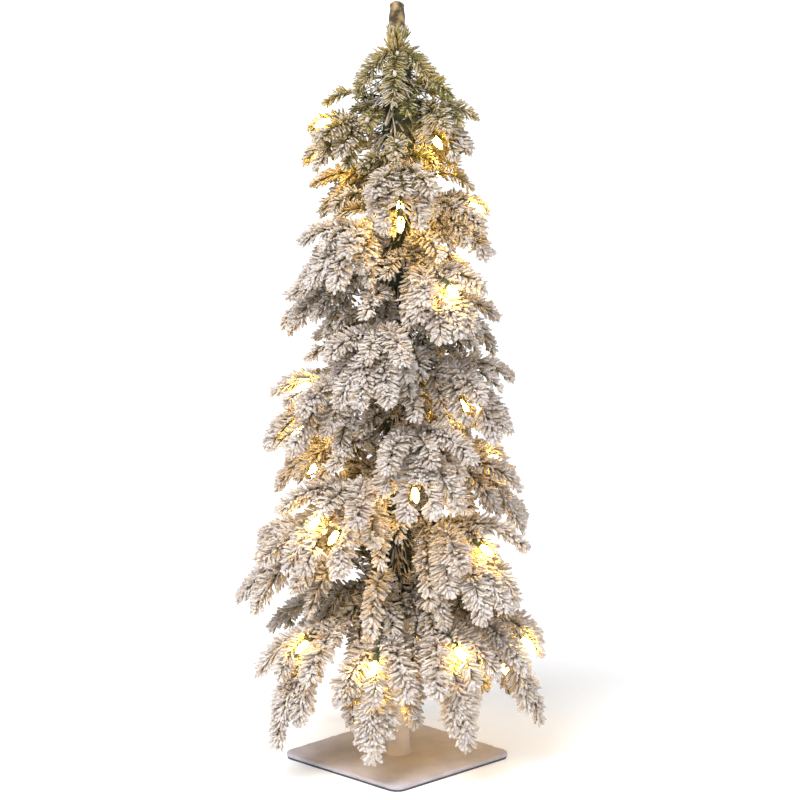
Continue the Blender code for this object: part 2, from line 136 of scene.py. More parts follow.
class Wiring:
    """A node tree being built, with short ways to add nodes and join them."""

    def __init__(self, tree: bpy.types.NodeTree) -> None:
        """Keep the tree.

        Args:
            tree: the shader or geometry tree to build in.
        """
        self.tree = tree

    def add(self, kind: str, inputs: dict | None = None, **settings) -> bpy.types.Node:
        """Add a node.

        Args:
            kind: the node's type name.
            inputs: by socket name or number, a socket to join to or a plain value.
            settings: the node's own properties.

        Returns:
            The new node.
        """
        node = self.tree.nodes.new(kind)
        for name, value in settings.items():
            setattr(node, name, value)
        for key, value in (inputs or {}).items():
            if isinstance(value, bpy.types.NodeSocket):
                self.tree.links.new(value, node.inputs[key])
            else:
                node.inputs[key].default_value = value
        return node

    def join(self, source: bpy.types.NodeSocket, target: bpy.types.NodeSocket) -> None:
        """Link one socket to another."""
        self.tree.links.new(source, target)

    def math(self, operation: str, first: object, second: object = 0.0) -> bpy.types.NodeSocket:
        """The result of a sum on two values."""
        return self.add("ShaderNodeMath", {0: first, 1: second}, operation=operation).outputs[0]

    def vector(self, operation: str, first: object, second: object) -> bpy.types.Node:
        """A node that works on two vectors."""
        return self.add("ShaderNodeVectorMath", {0: first, 1: second}, operation=operation)

    def blend(self, share: object, first: object, second: object) -> bpy.types.NodeSocket:
        """The colour between two colours at this share."""
        node = self.add("ShaderNodeMix", {0: share, 6: first, 7: second}, data_type="RGBA")
        return node.outputs[2]

    def ramp(self, value: object, low: float, high: float) -> bpy.types.NodeSocket:
        """0 below low, 1 above high, and a smooth rise between them."""
        node = self.add(
            "ShaderNodeMapRange",
            {0: value, 1: low, 2: high, 3: 0.0, 4: 1.0},
            interpolation_type="SMOOTHSTEP",
        )
        return node.outputs[0]

    def speckle(self, where: object, scale: float, detail: float = 2.0) -> bpy.types.NodeSocket:
        """A cloudy pattern about 0.5 that turns over this many times a metre."""
        node = self.add("ShaderNodeTexNoise", {"Vector": where, "Scale": scale, "Detail": detail})
        return node.outputs[0]


def new_group(name: str, kind: str, sockets: tuple[tuple[str, str, str, object], ...]) -> bpy.types.NodeTree:
    """An empty node group with named inputs and outputs.

    Args:
        name: the group's name.
        kind: ShaderNodeTree or GeometryNodeTree.
        sockets: for each socket its side, its type, its name and its default value, or None.

    Returns:
        The new group.
    """
    tree = bpy.data.node_groups.new(name, kind)
    for side, socket_type, label, value in sockets:
        socket = tree.interface.new_socket(name=label, in_out=side, socket_type=socket_type)
        if value is not None:
            socket.default_value = value
    return tree


def set_inputs(modifier: bpy.types.Modifier, values: dict[str, object]) -> None:
    """Give a Geometry Nodes modifier its inputs.

    Args:
        modifier: the modifier, with its tree already set.
        values: each input's value, by the socket's name.
    """
    for item in modifier.node_group.interface.items_tree:
        if item.item_type == "SOCKET" and item.in_out == "INPUT" and item.name in values:
            modifier[item.identifier] = values[item.name]


def in_scene(name: str, data: bpy.types.ID) -> bpy.types.Object:
    """A new object with this data, linked to the scene."""
    made = bpy.data.objects.new(name, data)
    bpy.context.scene.collection.objects.link(made)
    return made


def baked_mesh(
    name: str, data: bpy.types.Mesh, tree: bpy.types.NodeTree, values: dict[str, object]
) -> bpy.types.Mesh:
    """The plain mesh that a Geometry Nodes tree makes from some data.

    Args:
        name: the mesh's name.
        data: the points and lines to work from.
        tree: the tree.
        values: the tree's inputs by name.

    Returns:
        The mesh, with no modifier left.
    """
    maker = in_scene(name + "_maker", data)
    modifier = maker.modifiers.new("Grow", "NODES")
    modifier.node_group = tree
    set_inputs(modifier, values)
    graph = bpy.context.evaluated_depsgraph_get()
    mesh = bpy.data.meshes.new_from_object(maker.evaluated_get(graph))
    mesh.name = name
    bpy.data.objects.remove(maker, do_unlink=True)
    return mesh


def show(name: str, mesh: bpy.types.Mesh, body: str, nodes: tuple[str, ...]) -> bpy.types.Object:
    """Put a finished mesh in the scene in place of the CAD nodes it stands for.

    Args:
        name: the piece's name.
        mesh: its mesh, already in place.
        body: the CAD body that it rides on.
        nodes: the CAD nodes that it replaces.

    Returns:
        The piece.
    """
    piece = in_scene(name, mesh)
    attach(piece, body)
    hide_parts(*nodes)
    LOG.info("%s: %d faces", name, len(mesh.polygons))
    return piece


# ---------------------------------------------------------------- finishes


def powder_group() -> bpy.types.NodeTree:
    """Shader group of flock's fine powder and the soft patches in it."""
    tree = new_group(
        "powder",
        "ShaderNodeTree",
        (
            ("INPUT", "NodeSocketFloat", "Grain Scale", 1600.0),
            ("INPUT", "NodeSocketFloat", "Patch Scale", 55.0),
            ("OUTPUT", "NodeSocketFloat", "Grain", None),
            ("OUTPUT", "NodeSocketFloat", "Patch", None),
        ),
    )
    wiring = Wiring(tree)
    given = wiring.add("NodeGroupInput")
    made = wiring.add("NodeGroupOutput")
    where = wiring.add("ShaderNodeTexCoord").outputs["Object"]
    grain = wiring.add(
        "ShaderNodeTexNoise",
        {"Vector": where, "Scale": given.outputs["Grain Scale"], "Detail": 4.0, "Roughness": 0.7},
    )
    patch = wiring.add(
        "ShaderNodeTexNoise", {"Vector": where, "Scale": given.outputs["Patch Scale"], "Detail": 3.0}
    )
    wiring.join(grain.outputs[0], made.inputs["Grain"])
    wiring.join(wiring.ramp(patch.outputs[0], 0.35, 0.65), made.inputs["Patch"])
    return tree


def cover_group() -> bpy.types.NodeTree:
    """Shader group of where sprayed flock has settled: on faces that look up and out, and in patches."""
    tree = new_group(
        "settled_cover",
        "ShaderNodeTree",
        (
            ("INPUT", "NodeSocketFloat", "Frost", 0.5),
            ("INPUT", "NodeSocketFloat", "Patchiness", 0.5),
            ("OUTPUT", "NodeSocketFloat", "Cover", None),
        ),
    )
    wiring = Wiring(tree)
    given = wiring.add("NodeGroupInput")
    made = wiring.add("NodeGroupOutput")
    where = wiring.add("ShaderNodeTexCoord")
    level = wiring.vector("MULTIPLY", where.outputs["Object"], (1.0, 1.0, 0.0))
    outward = wiring.add("ShaderNodeVectorMath", {0: level.outputs[0]}, operation="NORMALIZE")
    spray = wiring.vector("ADD", outward.outputs[0], (0.0, 0.0, 0.9))
    facing = wiring.vector("DOT_PRODUCT", spray.outputs[0], where.outputs["Normal"]).outputs["Value"]
    cloud = wiring.math("SUBTRACT", wiring.speckle(where.outputs["Object"], 420.0), 0.5)
    patches = wiring.math("MULTIPLY", cloud, given.outputs["Patchiness"])
    total = wiring.math("MULTIPLY_ADD", facing, 0.44)
    wiring.join(given.outputs["Frost"], total.node.inputs[2])
    cover = wiring.ramp(wiring.math("ADD", total, patches), 0.32, 0.62)
    wiring.join(cover, made.inputs["Cover"])
    return tree


@dataclass(frozen=True)
class Finishes:
    """Every finish on the tree, built once."""

    needles: bpy.types.Material
    clumps: bpy.types.Material
    stems: bpy.types.Material
    bare_end: bpy.types.Material
    wire: bpy.types.Material
    holder: bpy.types.Material
    bulb: bpy.types.Material
    plate: bpy.types.Material
    pole: bpy.types.Material
    foam_and_edge_shade: bpy.types.Material
    zinc: bpy.types.Material
    plastic: bpy.types.Material
    tape: bpy.types.Material
    floor: bpy.types.Material


def start_material(name: str, roughness: float, **constants: object) -> tuple:
    """A new material with one Principled shader.

    Args:
        name: the material's name.
        roughness: the shader's roughness.
        constants: other plain values, by the shader's socket name with _ for a space.

    Returns:
        The material, its wiring and its shader.
    """
    material = bpy.data.materials.new(name)
    material.use_nodes = True
    wiring = Wiring(material.node_tree)
    shader = material.node_tree.nodes["Principled BSDF"]
    shader.inputs["Roughness"].default_value = roughness
    for key, value in constants.items():
        shader.inputs[key.replace("_", " ")].default_value = value
    return material, wiring, shader


def add_bump(wiring: Wiring, shader: bpy.types.Node, height: object, depth: float) -> None:
    """Raise a shader's surface by a pattern.

    Args:
        wiring: the material's wiring.
        shader: the shader.
        height: the pattern's socket, 0 to 1.
        depth: how far 1 stands above 0, in metres.
    """
    bump = wiring.add("ShaderNodeBump", {"Height": height, "Distance": depth, "Strength": 1.0})
    wiring.join(bump.outputs[0], shader.inputs["Normal"])


def attribute(wiring: Wiring, name: str) -> bpy.types.NodeSocket:
    """The value that the mesh keeps under this name."""
    return wiring.add("ShaderNodeAttribute", attribute_name=name).outputs["Fac"]


def flocked_material(
    name: str, powder: bpy.types.NodeTree, light: tuple, dark: tuple, depth: float, grain: float
) -> bpy.types.Material:
    """Flock sprayed on a solid surface.

    Args:
        name: the material's name.
        powder: the powder group.
        light: its lighter colour.
        dark: its darker colour.
        depth: how deep the powder's grain is, in metres.
        grain: how many grains there are to a metre.

    Returns:
        The material.
    """
    material, wiring, shader = start_material(name, 0.92, Sheen_Weight=0.12, Specular_IOR_Level=0.25)
    dust = wiring.add("ShaderNodeGroup", {}, node_tree=powder)
    dust.inputs["Grain Scale"].default_value = grain
    shade = wiring.math("MULTIPLY_ADD", dust.outputs["Grain"], 0.6)
    wiring.join(wiring.math("MULTIPLY", dust.outputs["Patch"], 0.45), shade.node.inputs[2])
    colour = wiring.blend(shade, (*dark, 1.0), (*light, 1.0))
    wiring.join(colour, shader.inputs["Base Color"])
    add_bump(wiring, shader, dust.outputs["Grain"], depth)
    return material


def needle_material(powder: bpy.types.NodeTree, cover: bpy.types.NodeTree) -> bpy.types.Material:
    """Green needles under settled flock."""
    material, wiring, shader = start_material("needle_flock", 0.85, Sheen_Weight=0.1, Specular_IOR_Level=0.3)
    frost = attribute(wiring, "frost")
    tone = attribute(wiring, "tone")
    dust = wiring.add("ShaderNodeGroup", {}, node_tree=powder)
    settled = wiring.add("ShaderNodeGroup", {}, node_tree=cover)
    outer = wiring.math("MULTIPLY", wiring.math("SUBTRACT", attribute(wiring, "along"), 0.42), 0.42)
    wiring.join(wiring.math("ADD", frost, outer), settled.inputs["Frost"])
    green = wiring.blend(tone, (0.045, 0.055, 0.010, 1.0), (0.240, 0.250, 0.060, 1.0))
    straw = wiring.blend(tone, (0.170, 0.115, 0.024, 1.0), (0.690, 0.520, 0.170, 1.0))
    shares = ((dust.outputs["Patch"], 0.45), (tone, 0.5), (frost, 0.4))
    clouded, paler, frosted = (wiring.math("MULTIPLY", value, share) for value, share in shares)
    aged = wiring.ramp(wiring.math("ADD", wiring.math("ADD", clouded, paler), frosted), 0.20, 0.80)
    under = wiring.blend(aged, green, straw)
    white = wiring.blend(dust.outputs["Patch"], (0.720, 0.630, 0.580, 1.0), (0.890, 0.825, 0.770, 1.0))
    soiled = wiring.blend(wiring.ramp(tone, 0.50, 1.0), white, (0.620, 0.500, 0.360, 1.0))
    colour = wiring.blend(settled.outputs["Cover"], under, soiled)
    wiring.join(colour, shader.inputs["Base Color"])
    add_bump(wiring, shader, dust.outputs["Grain"], 0.0005)
    return material


def strand_material(
    name: str, base: tuple, paler: tuple, scale: float, roughness: float
) -> bpy.types.Material:
    """Coated or twisted wire, with paler streaks on its raised parts: wear on the stems and the string's
    wire, and on the bare end a painted highlight.
    """
    material, wiring, shader = start_material(name, roughness)
    where = wiring.add("ShaderNodeTexCoord").outputs["Object"]
    streak = wiring.speckle(where, scale, 3.0)
    # paler where the streaks stand high: wear on the wires, and on the bare twist a painted highlight
    colour = wiring.blend(wiring.ramp(streak, 0.40, 0.68), (*base, 1.0), (*paler, 1.0))
    wiring.join(colour, shader.inputs["Base Color"])
    add_bump(wiring, shader, streak, 0.0003)
    return material


def bulb_material() -> bpy.types.Material:
    """A lit bulb: hottest in its middle and warmer towards its ends."""
    material, wiring, shader = start_material("lit_bulb", 0.15, Emission_Strength=92.0)
    along = attribute(wiring, "along")
    ends = wiring.ramp(wiring.math("ABSOLUTE", wiring.math("SUBTRACT", along, 0.45)), 0.15, 0.55)
    glow = wiring.blend(ends, (1.0, 0.63, 0.100, 1.0), (1.0, 0.48, 0.050, 1.0))
    wiring.join(glow, shader.inputs["Emission Color"])
    body = wiring.blend(ends, (1.0, 0.93, 0.80, 1.0), (0.95, 0.80, 0.55, 1.0))
    wiring.join(body, shader.inputs["Base Color"])
    return material


def plain_material(
    name: str, first: tuple, second: tuple, scale: float, roughness: float, **constants: object
) -> bpy.types.Material:
    """A moulded, cast or foamed finish with a fine mottle."""
    material, wiring, shader = start_material(name, roughness, **constants)
    where = wiring.add("ShaderNodeTexCoord").outputs["Object"]
    mottle = wiring.speckle(where, scale, 4.0)
    wiring.join(wiring.blend(mottle, (*first, 1.0), (*second, 1.0)), shader.inputs["Base Color"])
    add_bump(wiring, shader, mottle, 0.0002)
    return material


def tape_material() -> bpy.types.Material:
    """Green paper tape, wound up the pole in overlapping turns."""
    material, wiring, shader = start_material("wound_tape", 0.75)
    where = wiring.add("ShaderNodeTexCoord").outputs["Object"]
    wave = {"Vector": where, "Scale": 28.0, "Distortion": 1.2}
    turns = wiring.add("ShaderNodeTexWave", wave, bands_direction="Z")
    crease = wiring.speckle(where, 500.0, 3.0)
    shade = wiring.math("MULTIPLY", turns.outputs[1], crease)
    colour = wiring.blend(shade, (0.030, 0.040, 0.018, 1.0), (0.130, 0.150, 0.080, 1.0))
    wiring.join(colour, shader.inputs["Base Color"])
    add_bump(wiring, shader, shade, 0.0006)
    return material


def make_finishes() -> Finishes:
    """Build every finish."""
    powder = powder_group()
    cover = cover_group()
    return Finishes(
        needles=needle_material(powder, cover),
        clumps=flocked_material(
            "flock_clump", powder, (0.910, 0.855, 0.820), (0.680, 0.600, 0.570), 0.0006, 1500.0
        ),
        stems=strand_material("stem_wire", (0.060, 0.050, 0.030), (0.200, 0.160, 0.100), 300.0, 0.6),
        # the bare twist's tan streaks are a painted highlight on its dark brown
        bare_end=strand_material("bare_twist", (0.060, 0.036, 0.012), (0.480, 0.330, 0.150), 150.0, 0.55),
        wire=strand_material("string_wire", (0.060, 0.095, 0.035), (0.110, 0.150, 0.070), 240.0, 0.45),
        holder=plain_material("lamp_holder", (0.040, 0.070, 0.030), (0.075, 0.110, 0.050), 300.0, 0.4),
        bulb=bulb_material(),
        plate=flocked_material(
            "plate_flock", powder, (0.700, 0.660, 0.715), (0.490, 0.455, 0.500), 0.0009, 1000.0
        ),
        pole=flocked_material(
            "pole_flock", powder, (0.800, 0.750, 0.740), (0.620, 0.570, 0.560), 0.0006, 1200.0
        ),
        # dark foam pad under the plate; its dark edge also stands in for the thin shade line beneath the
        # plate: partly painted shade
        foam_and_edge_shade=plain_material("pad_foam_and_edge_shade", (0.060, 0.058, 0.056), (0.120, 0.115, 0.110), 2200.0, 0.95),
        zinc=plain_material(
            "zinc_plate", (0.560, 0.560, 0.540), (0.660, 0.660, 0.650), 900.0, 0.35, Metallic=1.0
        ),
        plastic=plain_material("moulded_plastic", (0.030, 0.030, 0.030), (0.055, 0.055, 0.052), 700.0, 0.5),
        tape=tape_material(),
        floor=plain_material(
            "pale_floor",
            (0.930, 0.930, 0.930),
            (0.945, 0.945, 0.945),
            8.0,
            0.9,
            Emission_Strength=0.22,
            Emission_Color=(0.70, 0.82, 1.0, 1.0),
        ),
    )


# ---------------------------------------------------------------- geometry trees


def strand_tree() -> bpy.types.NodeTree:
    """Geometry tree that makes a twisted pair of wires along each line."""
    tree = new_group(
        "twisted_strand",
        "GeometryNodeTree",
        (
            ("INPUT", "NodeSocketGeometry", "Lines", None),
            ("INPUT", "NodeSocketFloat", "Radius", 0.0009),
            ("INPUT", "NodeSocketFloat", "Flatness", 0.55),
            ("INPUT", "NodeSocketFloat", "Turn Length", 0.007),
            ("INPUT", "NodeSocketInt", "Corners", 6),
            ("INPUT", "NodeSocketMaterial", "Finish", None),
            ("OUTPUT", "NodeSocketGeometry", "Strands", None),
        ),
    )
    wiring = Wiring(tree)
    given = wiring.add("NodeGroupInput").outputs
    made = wiring.add("NodeGroupOutput")
    curve = wiring.add("GeometryNodeMeshToCurve", {"Mesh": given["Lines"]})
    along = wiring.add("GeometryNodeSplineParameter").outputs["Length"]
    turns = wiring.math("DIVIDE", along, given["Turn Length"])
    tilt = wiring.math("MULTIPLY", turns, 2 * math.pi)
    tilted = wiring.add("GeometryNodeSetCurveTilt", {"Curve": curve.outputs[0], "Tilt": tilt})
    ring = wiring.add(
        "GeometryNodeCurvePrimitiveCircle", {"Resolution": given["Corners"], "Radius": given["Radius"]}
    )
    scale = wiring.add("ShaderNodeCombineXYZ", {0: 1.0, 1: given["Flatness"], 2: 1.0})
    oval = wiring.add("GeometryNodeTransform", {"Geometry": ring.outputs[0], "Scale": scale.outputs[0]})
    body = wiring.add(
        "GeometryNodeCurveToMesh",
        {"Curve": tilted.outputs[0], "Profile Curve": oval.outputs[0], "Fill Caps": True},
    )
    smooth = wiring.add("GeometryNodeSetShadeSmooth", {0: body.outputs[0]})
    whole = wiring.add("GeometryNodeRealizeInstances", {0: smooth.outputs[0]})
    dressed = wiring.add("GeometryNodeSetMaterial", {0: whole.outputs[0], "Material": given["Finish"]})
    wiring.join(dressed.outputs[0], made.inputs[0])
    return tree


def spray_tree(strands: bpy.types.NodeTree) -> bpy.types.NodeTree:
    """Geometry tree that sets needles and flock clumps on their seats, and makes the stems.

    Args:
        strands: the tree that makes twisted wire.

    Returns:
        The tree. Its input mesh holds the stems' lines, and the seats as loose points.
    """
    tree = new_group(
        "needle_spray",
        "GeometryNodeTree",
        (
            ("INPUT", "NodeSocketGeometry", "Seats and Lines", None),
            ("INPUT", "NodeSocketObject", "Needle", None),
            ("INPUT", "NodeSocketObject", "Clump", None),
            ("INPUT", "NodeSocketFloat", "Crust Depth", 0.0007),
            ("INPUT", "NodeSocketFloat", "Crust Scale", 420.0),
            ("INPUT", "NodeSocketFloat", "Stem Radius", 0.0011),
            ("INPUT", "NodeSocketInt", "Seed", 3),
            ("INPUT", "NodeSocketMaterial", "Needle Finish", None),
            ("INPUT", "NodeSocketMaterial", "Clump Finish", None),
            ("INPUT", "NodeSocketMaterial", "Stem Finish", None),
            ("OUTPUT", "NodeSocketGeometry", "Spray", None),
        ),
    )
    wiring = Wiring(tree)
    given = wiring.add("NodeGroupInput").outputs
    made = wiring.add("NodeGroupOutput")

    def kept(name: str, data_type: str) -> bpy.types.NodeSocket:
        """A named attribute of the seats."""
        node = wiring.add("GeometryNodeInputNamedAttribute", {"Name": name}, data_type=data_type)
        return node.outputs["Attribute"]

    seated = wiring.add(
        "GeometryNodeSeparateGeometry",
        {"Geometry": given["Seats and Lines"], "Selection": kept("seated", "BOOLEAN")},
        domain="POINT",
    )
    rotation = wiring.add(
        "FunctionNodeAxesToRotation",
        {"Primary Axis": kept("aim", "FLOAT_VECTOR"), "Secondary Axis": kept("face", "FLOAT_VECTOR")},
        primary_axis="X",
        secondary_axis="Z",
    )
    jitter = wiring.add(
        "FunctionNodeRandomValue",
        {"Min": (0.90, 0.82, 0.82), "Max": (1.08, 1.22, 1.22), "Seed": given["Seed"]},
        data_type="FLOAT_VECTOR",
    )
    size = wiring.vector("MULTIPLY", kept("size", "FLOAT_VECTOR"), jitter.outputs[0])
    streams = []
    for place, shape, finish in (
        (Place.NEEDLE, "Needle", "Needle Finish"),
        (Place.CLUMP, "Clump", "Clump Finish"),
    ):
        kinds = {2: kept("place", "INT"), 3: place.value}
        chosen = wiring.add("FunctionNodeCompare", kinds, data_type="INT", operation="EQUAL")
        source = wiring.add("GeometryNodeObjectInfo", {"Object": given[shape]})
        placed = wiring.add(
            "GeometryNodeInstanceOnPoints",
            {
                "Points": seated.outputs["Selection"],
                "Selection": chosen.outputs[0],
                "Instance": source.outputs["Geometry"],
                "Rotation": rotation.outputs[0],
                "Scale": size.outputs[0],
            },
        )
        whole = wiring.add("GeometryNodeRealizeInstances", {0: placed.outputs[0]})
        where = wiring.add("GeometryNodeInputPosition").outputs[0]
        bumps = wiring.add("ShaderNodeTexNoise", {"Vector": where, "Scale": given["Crust Scale"]})
        centred = wiring.vector("SUBTRACT", bumps.outputs[1], (0.5, 0.5, 0.5))
        pushed = wiring.add(
            "ShaderNodeVectorMath", {0: centred.outputs[0], "Scale": given["Crust Depth"]}, operation="SCALE"
        )
        crusted = wiring.add("GeometryNodeSetPosition", {0: whole.outputs[0], "Offset": pushed.outputs[0]})
        smooth = wiring.add("GeometryNodeSetShadeSmooth", {0: crusted.outputs[0]})
        dressed = wiring.add("GeometryNodeSetMaterial", {0: smooth.outputs[0], "Material": given[finish]})
        streams.append(dressed.outputs[0])
    wires = wiring.add(
        "GeometryNodeGroup",
        {"Lines": seated.outputs["Inverted"], "Radius": given["Stem Radius"], "Finish": given["Stem Finish"]},
        node_tree=strands,
    )
    whole = wiring.add("GeometryNodeJoinGeometry")
    for stream in (*streams, wires.outputs[0]):
        wiring.join(stream, whole.inputs[0])
    wiring.join(whole.outputs[0], made.inputs[0])
    return tree


# ---------------------------------------------------------------- shapes


def heading(yaw: float, pitch: float) -> Vector:
    """The unit vector at this yaw from x and this pitch above the floor, in degrees."""
    level = math.cos(math.radians(pitch))
    side = math.radians(yaw)
    return Vector((level * math.cos(side), level * math.sin(side), math.sin(math.radians(pitch))))


def sweep(start: Vector, first: Vector, last: Vector, length: float, steps: int) -> list[Vector]:
    """Points along a stem whose direction turns evenly from first to last."""
    points = [start.copy()]
    for step in range(steps):
        direction = first.lerp(last, (step + 0.5) / steps).normalized()
        points.append(points[-1] + direction * length / steps)
    return points


def chain_edges(lines: list[list[Vector]]) -> list[tuple[int, int]]:
    """The edges that join each line's points, where the lines' points are listed one after another."""
    edges = []
    start = 0
    for line in lines:
        edges += [(start + i, start + i + 1) for i in range(len(line) - 1)]
        start += len(line)
    return edges


def ring_angles(corners: int) -> list[float]:
    """The angles of this many corners, evenly round a circle."""
    return [2 * math.pi * corner / corners for corner in range(corners)]


def roughness_at(point: Vector, scale: float, fine_scale: float) -> float:
    """How far flock stands out here, from a coarse and a fine pattern, about 0."""
    return noise.noise(point * scale) + 0.5 * noise.noise(point * fine_scale)


def at_share(points: list[Vector], share: float) -> tuple[Vector, Vector]:
    """The point, and the direction, at this share of a line's length."""
    place = min(share, 0.999) * (len(points) - 1)
    index = int(place)
    step = points[index + 1] - points[index]
    return points[index] + step * (place - index), step.normalized()


def swell(share: float, start: float, rise: float) -> float:
    """0 before the start, 1 once the rise is over, and a straight slope between."""
    return min(max((share - start) / rise, 0.0), 1.0)


def needle_shape() -> bpy.types.Mesh:
    """A stubby flocked needle, 1 long on x and 1 wide, fullest past its middle, with a blunt end."""
    rings = ((0.0, 0.26, 0.0), (0.45, 0.46, 0.03), (0.92, 0.44, 0.02))
    corners = 4
    points = []
    for along, radius, lift in rings:
        for angle in ring_angles(corners):
            points.append((along, radius * math.cos(angle), lift + 0.85 * radius * math.sin(angle)))
    points.append((1.04, 0.0, -0.02))
    faces = [tuple(reversed(range(corners)))]
    for ring in range(len(rings) - 1):
        for corner in range(corners):
            low = ring * corners + corner
            next_low = ring * corners + (corner + 1) % corners
            faces.append((low, next_low, next_low + corners, low + corners))
    last = (len(rings) - 1) * corners
    for corner in range(corners):
        faces.append((last + corner, last + (corner + 1) % corners, len(points) - 1))
    mesh = bpy.data.meshes.new("needle_shape")
    mesh.from_pydata(points, [], faces)
    along = [point[0] for point in points]
    mesh.attributes.new("along", "FLOAT", "POINT").data.foreach_set("value", along)
    return mesh


def clump_shape() -> bpy.types.Mesh:
    """A lump of flock, 1 across, with uneven sides."""
    ball = bmesh.new()
    bmesh.ops.create_icosphere(ball, subdivisions=1, radius=0.5)
    for vertex in ball.verts:
        vertex.co *= 1.0 + 0.45 * noise.noise(vertex.co * 3.1)
    mesh = bpy.data.meshes.new("clump_shape")
    ball.to_mesh(mesh)
    ball.free()
    return mesh


def helper(name: str, mesh: bpy.types.Mesh) -> bpy.types.Object:
    """A shape for a tree to copy, kept out of the scene."""
    return bpy.data.objects.new(name, mesh)


@dataclass
class Seats:
    """The places along stems where needles and clumps stand, gathered before a mesh is made."""

    points: list = field(default_factory=list)
    aims: list = field(default_factory=list)
    faces: list = field(default_factory=list)
    sizes: list = field(default_factory=list)
    frosts: list = field(default_factory=list)
    tones: list = field(default_factory=list)
    places: list = field(default_factory=list)
    lines: list = field(default_factory=list)

    def put(
        self,
        place: Place,
        point: np.ndarray,
        aim: np.ndarray,
        face: np.ndarray,
        size: tuple[float, float, float],
        frost: float,
        tone: float,
    ) -> None:
        """Add one seat.

        Args:
            place: what it carries.
            point: where it is.
            aim: the way its needle or clump points.
            face: the way its upper side looks.
            size: its length, width and thickness.
            frost: how much flock is on it, 0 to 1.
            tone: how light and tan it is, 0 to 1.
        """
        self.points.append(point)
        self.aims.append(aim)
        self.faces.append(face)
        self.sizes.append(size)
        self.frosts.append(frost)
        self.tones.append(tone)
        self.places.append(place.value)

    def as_mesh(self, name: str, origin: Vector, turn: float) -> bpy.types.Mesh:
        """A mesh of the stems' lines and the seats, turned about z and moved to its place.

        Args:
            name: the mesh's name.
            origin: where the local frame's origin goes.
            turn: the local frame's turn about z, in radians.

        Returns:
            The mesh, with the seats' values as attributes.
        """
        turned = np.array(Matrix.Rotation(turn, 3, "Z"))
        line_points = [point for line in self.lines for point in line]
        count = len(line_points)
        everything = np.array([tuple(p) for p in line_points] + [tuple(p) for p in self.points])
        everything = everything @ turned.T + np.array(origin)
        mesh = bpy.data.meshes.new(name)
        mesh.from_pydata(everything.tolist(), chain_edges(self.lines), [])
        blank = np.zeros((count, 3))
        for key, values in {"aim": self.aims, "face": self.faces}.items():
            placed = np.vstack([blank, np.array(values) @ turned.T]).astype(np.float32)
            mesh.attributes.new(key, "FLOAT_VECTOR", "POINT").data.foreach_set("vector", placed.ravel())
        sizes = np.vstack([blank, np.array(self.sizes)]).astype(np.float32)
        mesh.attributes.new("size", "FLOAT_VECTOR", "POINT").data.foreach_set("vector", sizes.ravel())
        for key, values in {"frost": self.frosts, "tone": self.tones}.items():
            every = np.concatenate([np.zeros(count), np.array(values)]).astype(np.float32)
            mesh.attributes.new(key, "FLOAT", "POINT").data.foreach_set("value", every)
        kinds = np.concatenate([np.zeros(count), np.array(self.places)]).astype(np.int32)
        mesh.attributes.new("place", "INT", "POINT").data.foreach_set("value", kinds)
        seated = np.concatenate([np.zeros(count), np.ones(len(self.points))]).astype(bool)
        mesh.attributes.new("seated", "BOOLEAN", "POINT").data.foreach_set("value", seated)
        return mesh


@dataclass(frozen=True)
class NeedleHabit:
    """How needles stand on a stem.

    Attributes:
        spacing: the distance between stations, in metres.
        per_station: how many needles each station has.
        side_length: the length of a needle at the stem's side.
        top_length: the length of a needle on top of it or underneath.
        width: a needle's width.
        spread: how far needles lean from the stem at its foot, in degrees.
        end_spread: how far they lean at its end.
        top_share: the share of needles on the stem's upper side.
        frost: how much flock is on them, 0 to 1.
        clump_share: how often a well flocked needle carries a clump.
        clump_size: a clump's width.
    """

    spacing: float = 0.00135
    per_station: int = 5
    side_length: float = 0.0138
    top_length: float = 0.0092
    width: float = 0.0024
    spread: float = 62.0
    end_spread: float = 54.0
    top_share: float = 0.36
    frost: float = 0.52
    clump_share: float = 0.50
    clump_size: float = 0.0028


def unit(vector: np.ndarray) -> np.ndarray:
    """The vector at length 1."""
    return vector / max(float(np.linalg.norm(vector)), 1e-9)


def taper(share: float) -> float:
    """How long a needle is at this share of its stem: short at the foot and shorter at the end."""
    return 0.70 + 0.30 * swell(share, 0.0, 0.3) - 0.34 * swell(share, 0.72, 0.28)


